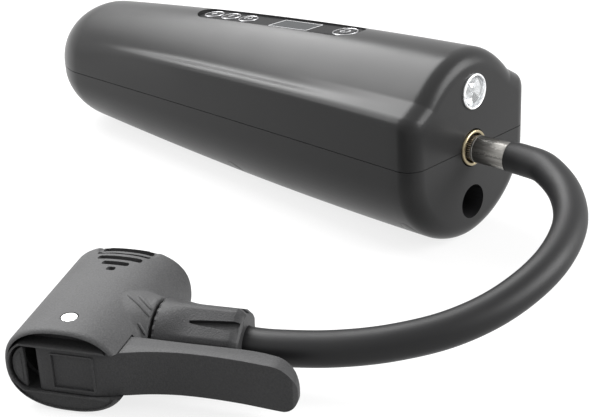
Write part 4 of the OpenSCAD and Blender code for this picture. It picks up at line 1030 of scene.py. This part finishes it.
def nut_piece():
    length, sides = NUT_FAR - NUT_START, 192
    rows = [(0.0, -0.55), (0.12, -0.3), (0.5, -0.05), (0.8, 0)]
    rows += [(0.8 + (length - 3.0) * i / 16, 0) for i in range(1, 17)]
    rows += [(length - 1.9, -0.05), (length - 0.5, -1.0), (length - 0.2, -1.25), (length, -1.6)]
    rings = []
    for d, grow in rows:
        ring = []
        for i, (c, s) in enumerate(circle(sides)):
            tooth = -0.3 if d < 0.7 and (i // 4) % 2 else 0
            r = nut_radius(2 * pi * i / sides, NUT_START + d) + grow + tooth
            ring.append((BRANCH_X + r * c, -NUT_START - d, r * s))
        rings.append(ring)
    nut = loft("hose_nut", rings, ON_CHUCK)
    near, far = -NUT_START - 8.8, -NUT_FAR + 0.6
    wedge = [(0.35, near), (-0.35, near), (-0.75, near - 3), (-1.5, far), (1.5, far), (0.75, near - 3)]
    groove = prism("groove", wedge, NUT_FLAT - 1.2, BRANCH_R + 2, None)
    dimple = rod("dimple", 0.35, BRANCH_R - 0.75, BRANCH_R + 2, None, "Z", (0, near + 1.2, 0), 16)
    place = ON_CHUCK @ Matrix.Translation((BRANCH_X, 0, 0))
    grooves = around("grooves", joined("groove", [groove, dimple]), 6, place, pi / 6)
    hole_r = HOSE_D / 2 + 0.15
    hole = [(0, NUT_END - 1.2), (hole_r, NUT_END - 1.2), (hole_r, NUT_FAR + 2), (0, NUT_FAR + 2)]
    return smooth(boolean(nut, grooves, turned_branch("hose_hole", hole, 64)), 28)


finished(nut_piece(), nut_nylon, "nut", "chuck_nut")


def lever_piece():
    """The lever's plan outline, cut to its height and rounded tip, with bevelled edges."""
    half, end, upper_r, lower_r = LEVER_H / 2, 1.5 - LEVER_LEN, 6.4, 4.0
    front = through([(HUB_FRONT, -5), (HUB_FRONT + 0.1, -8), (2.3, -14), (4.2, -20.5), (5.3, -27.5),
                     (5.5, -35), (5.1, -43), (4.3, -50), (3.9, -54), (4.0, -55.8)], 4)
    back = through([(7.5, -55.8), (8.2, -54), (9.1, -50), (10, -44), (10, -30), (10, -12), (9.2, -6)], 4)
    corner = [(HUB_FRONT + HUB_ROUND * (1 - cos(a)), HUB_SIDE - HUB_ROUND * (1 - sin(a)))
              for a in angles(90, 0, 6)]
    cam = []
    for i, a in enumerate(angles(0, 90, 12)):
        reach = CAM_MIN + PLUNGER_TRAVEL * i / 12
        cam.append((PIVOT_X + reach * cos(a), reach * sin(a)))
    outline = corner + front + [(4.7, end), (6.6, end)] + back + cam
    lever = prism("clamp_lever", outline, -half, half, ON_CHUCK)
    side = [(HUB_SIDE + 3, -half), (HUB_SIDE + 3, half)]
    for r, height, turns in ((upper_r, half, angles(0, 90, 10)), (-lower_r, -half, angles(90, 0, 9))):
        side += [(end + abs(r) * (1 - sin(a)), height - r * (1 - cos(a))) for a in turns]
    boolean(lever, prism("side_shape", side, -3, 20, ON_CHUCK, "YZX"), operation="INTERSECT")
    bevel(lever, 0.75, 3, 40)
    boolean(lever, block("window", WINDOW_LOW, (HUB_FRONT + 0.25, *WINDOW_HIGH), ON_CHUCK))
    line = prism("frame_line", rounded_bar(-8.05, -4.95, 3.15, 4.95, 0.5, 3), HUB_FRONT - 0.3,
                 HUB_FRONT + 0.4, ON_CHUCK, "YZX")
    boolean(line, block("inside", WINDOW_LOW, (HUB_FRONT + 1, *WINDOW_HIGH), ON_CHUCK))
    boolean(lever, line, operation="UNION")
    boolean(lever, rod("pin_hole", PIVOT_R + 0.05, -half - 1, half + 1, ON_CHUCK, "Z", (PIVOT_X, 0, 0), 32))
    return smooth(lever, 30)


finished(lever_piece(), lever_nylon, "lever", "chuck_lever", body="lever")


def pin_piece():
    top, head, under = BARREL_H / 2, PIN_HEAD_R - 0.22, BARREL_H / 2 - 0.68
    rows = [(0, top + 0.02), (PIN_HEAD_R - 0.6, top), (PIN_HEAD_R - 0.3, top - 0.1), (head, top - 0.3),
            (head, under), (PIVOT_R, under)]
    profile = rows + [(r, -d) for r, d in reversed(rows)]
    return smooth(turned("lever_pivot_pin", profile, ON_CHUCK, "Z", 48, (PIVOT_X, 0, 0)))


finished(pin_piece(), pin_zinc, "steel", "lever_pin")


def plug_piece():
    """The D-shaped plug beside the lever, with a framed face."""
    plug = prism("side_plug_cap", seat_outline(-0.7, PLUG_IN - 0.7), 0.7, 1.9, ON_CHUCK, "YZX")
    bevel(plug, 0.25, 2)
    face = prism("face", seat_outline(-1.5, PLUG_IN + 0.2), 0.45, 1.5, ON_CHUCK, "YZX")
    bevel(face, 0.2, 2)
    return smooth(boolean(plug, face, operation="UNION"))


finished(plug_piece(), chuck_nylon, "chuck", "side_plug")


def cap_piece():
    back, front, rim_r = BARREL_LEN - 5, BARREL_LEN + 0.4, CHUCK_BORE_R - 0.05
    profile = [(MOUTH_R, back), (MOUTH_R, BARREL_LEN), (MOUTH_R + 0.4, front), (CHUCK_BORE_R - 0.4, front),
               (rim_r, BARREL_LEN + 0.1), (rim_r, back), (MOUTH_R, back)]
    return smooth(turned("valve_cap", profile, ON_CHUCK, "X", 80))


finished(cap_piece(), chuck_nylon, "cap", "chuck_cap")


# ---- Floor and light

FLOOR_HALF, FLOOR_COLOUR = 4.0, (0.2, 0.2, 0.2, 1)
PALE_NEAR, PALE_FAR, FADE_FROM, FADE_TO = 0.8, 1.0, 0.45, 1.3
ROOM_LEVEL, WHITE = 0.3, 1.0


def bright_rays(tree):
    """One for the rays that see a white room, nought for all others."""
    rays = node(tree, "ShaderNodeLightPath").outputs
    seen = maths(tree, "MAXIMUM", rays["Is Camera Ray"], rays["Is Glossy Ray"])
    return maths(tree, "MAXIMUM", seen, rays["Is Transmission Ray"])


def pale_floor():
    """A floor that takes the shadow and fades to white away from the object."""
    corners = [(x * FLOOR_HALF, y * FLOOR_HALF, 0) for x, y in ((-1, -1), (1, -1), (1, 1), (-1, 1))]
    mesh = bpy.data.meshes.new("floor")
    mesh.from_pydata(corners, [], [(0, 1, 2, 3)])
    linked("floor", mesh)
    mat, tree = new_finish("floor")
    place = node(tree, "ShaderNodeTexCoord").outputs["Object"]
    away = node(tree, "ShaderNodeVectorMath", {0: place}, operation="LENGTH").outputs["Value"]
    fade = ranged(tree, away, PALE_NEAR, PALE_FAR, FADE_FROM, FADE_TO)
    glow = node(tree, "ShaderNodeEmission", {"Strength": maths(tree, "MULTIPLY", bright_rays(tree), fade)})
    diffuse = node(tree, "ShaderNodeBsdfDiffuse", {"Color": FLOOR_COLOUR})
    both = node(tree, "ShaderNodeAddShader", {0: diffuse, 1: glow})
    node(tree, "ShaderNodeOutputMaterial", {"Surface": both})
    mesh.materials.append(mat)


def white_room():
    scene.world = bpy.data.worlds.new("studio")
    tree = fresh_tree(scene.world)
    level = ranged(tree, bright_rays(tree), ROOM_LEVEL, WHITE, 0, 1)
    back = node(tree, "ShaderNodeBackground", {"Color": (1, 1, 1, 1), "Strength": level})
    node(tree, "ShaderNodeOutputWorld", {"Surface": back})


def lamp(name, place, aim, width, height, power):
    data = bpy.data.lights.new(name, "AREA")
    data.shape = "RECTANGLE"
    data.size, data.size_y, data.energy = width, height, power
    obj = linked(name, data)
    obj.location = place
    obj.rotation_euler = (Vector(aim) - Vector(place)).to_track_quat("-Z", "Y").to_euler()


pale_floor()
white_room()
lamp("back_softbox", (0.01, 0.64, 0.86), (0, 0, 0.03), 0.98, 0.72, 25)
lamp("shoulder_strip", (-0.62, 0.62, 0.5), (0, 0, 0.03), 0.34, 0.5, 4.4)
lamp("front_fill", (0.5, -0.9, 0.5), (0, -0.08, 0.03), 0.8, 0.6, 18)
lamp("side_fill", (-1.0, -0.1, 0.7), (0, 0, 0.03), 0.8, 0.6, 0.9)
scene.view_settings.view_transform = "Standard"


# ---- Finishes of the solids

SLOT_FINISH = {
    "shell": case_satin, "panel": strip_gloss, "window": display_tint, "display": display_foil,
    "button": key_gloss, "board": board_green, "sensor": sensor_grey, "bright_ring": chrome,
    "lens": lens_clear, "reflector": mirror, "brass": brass, "seal": soft_rubber, "sleeve": nickel,
    "hose": hose_rubber, "socket": black_plastic, "steel": steel, "cast": cast_aluminium,
    "gear": gear_nylon, "tube": air_tube_plastic, "cell": blue_sleeve, "chuck": chuck_nylon,
    "nut": nut_nylon, "lever": lever_nylon, "cap": chuck_nylon, "plunger": brass}
for entry in frame["record"]["subparts"]:
    paint(frame["nodes"][entry["node"]], SLOT_FINISH[entry["material_slot"]])
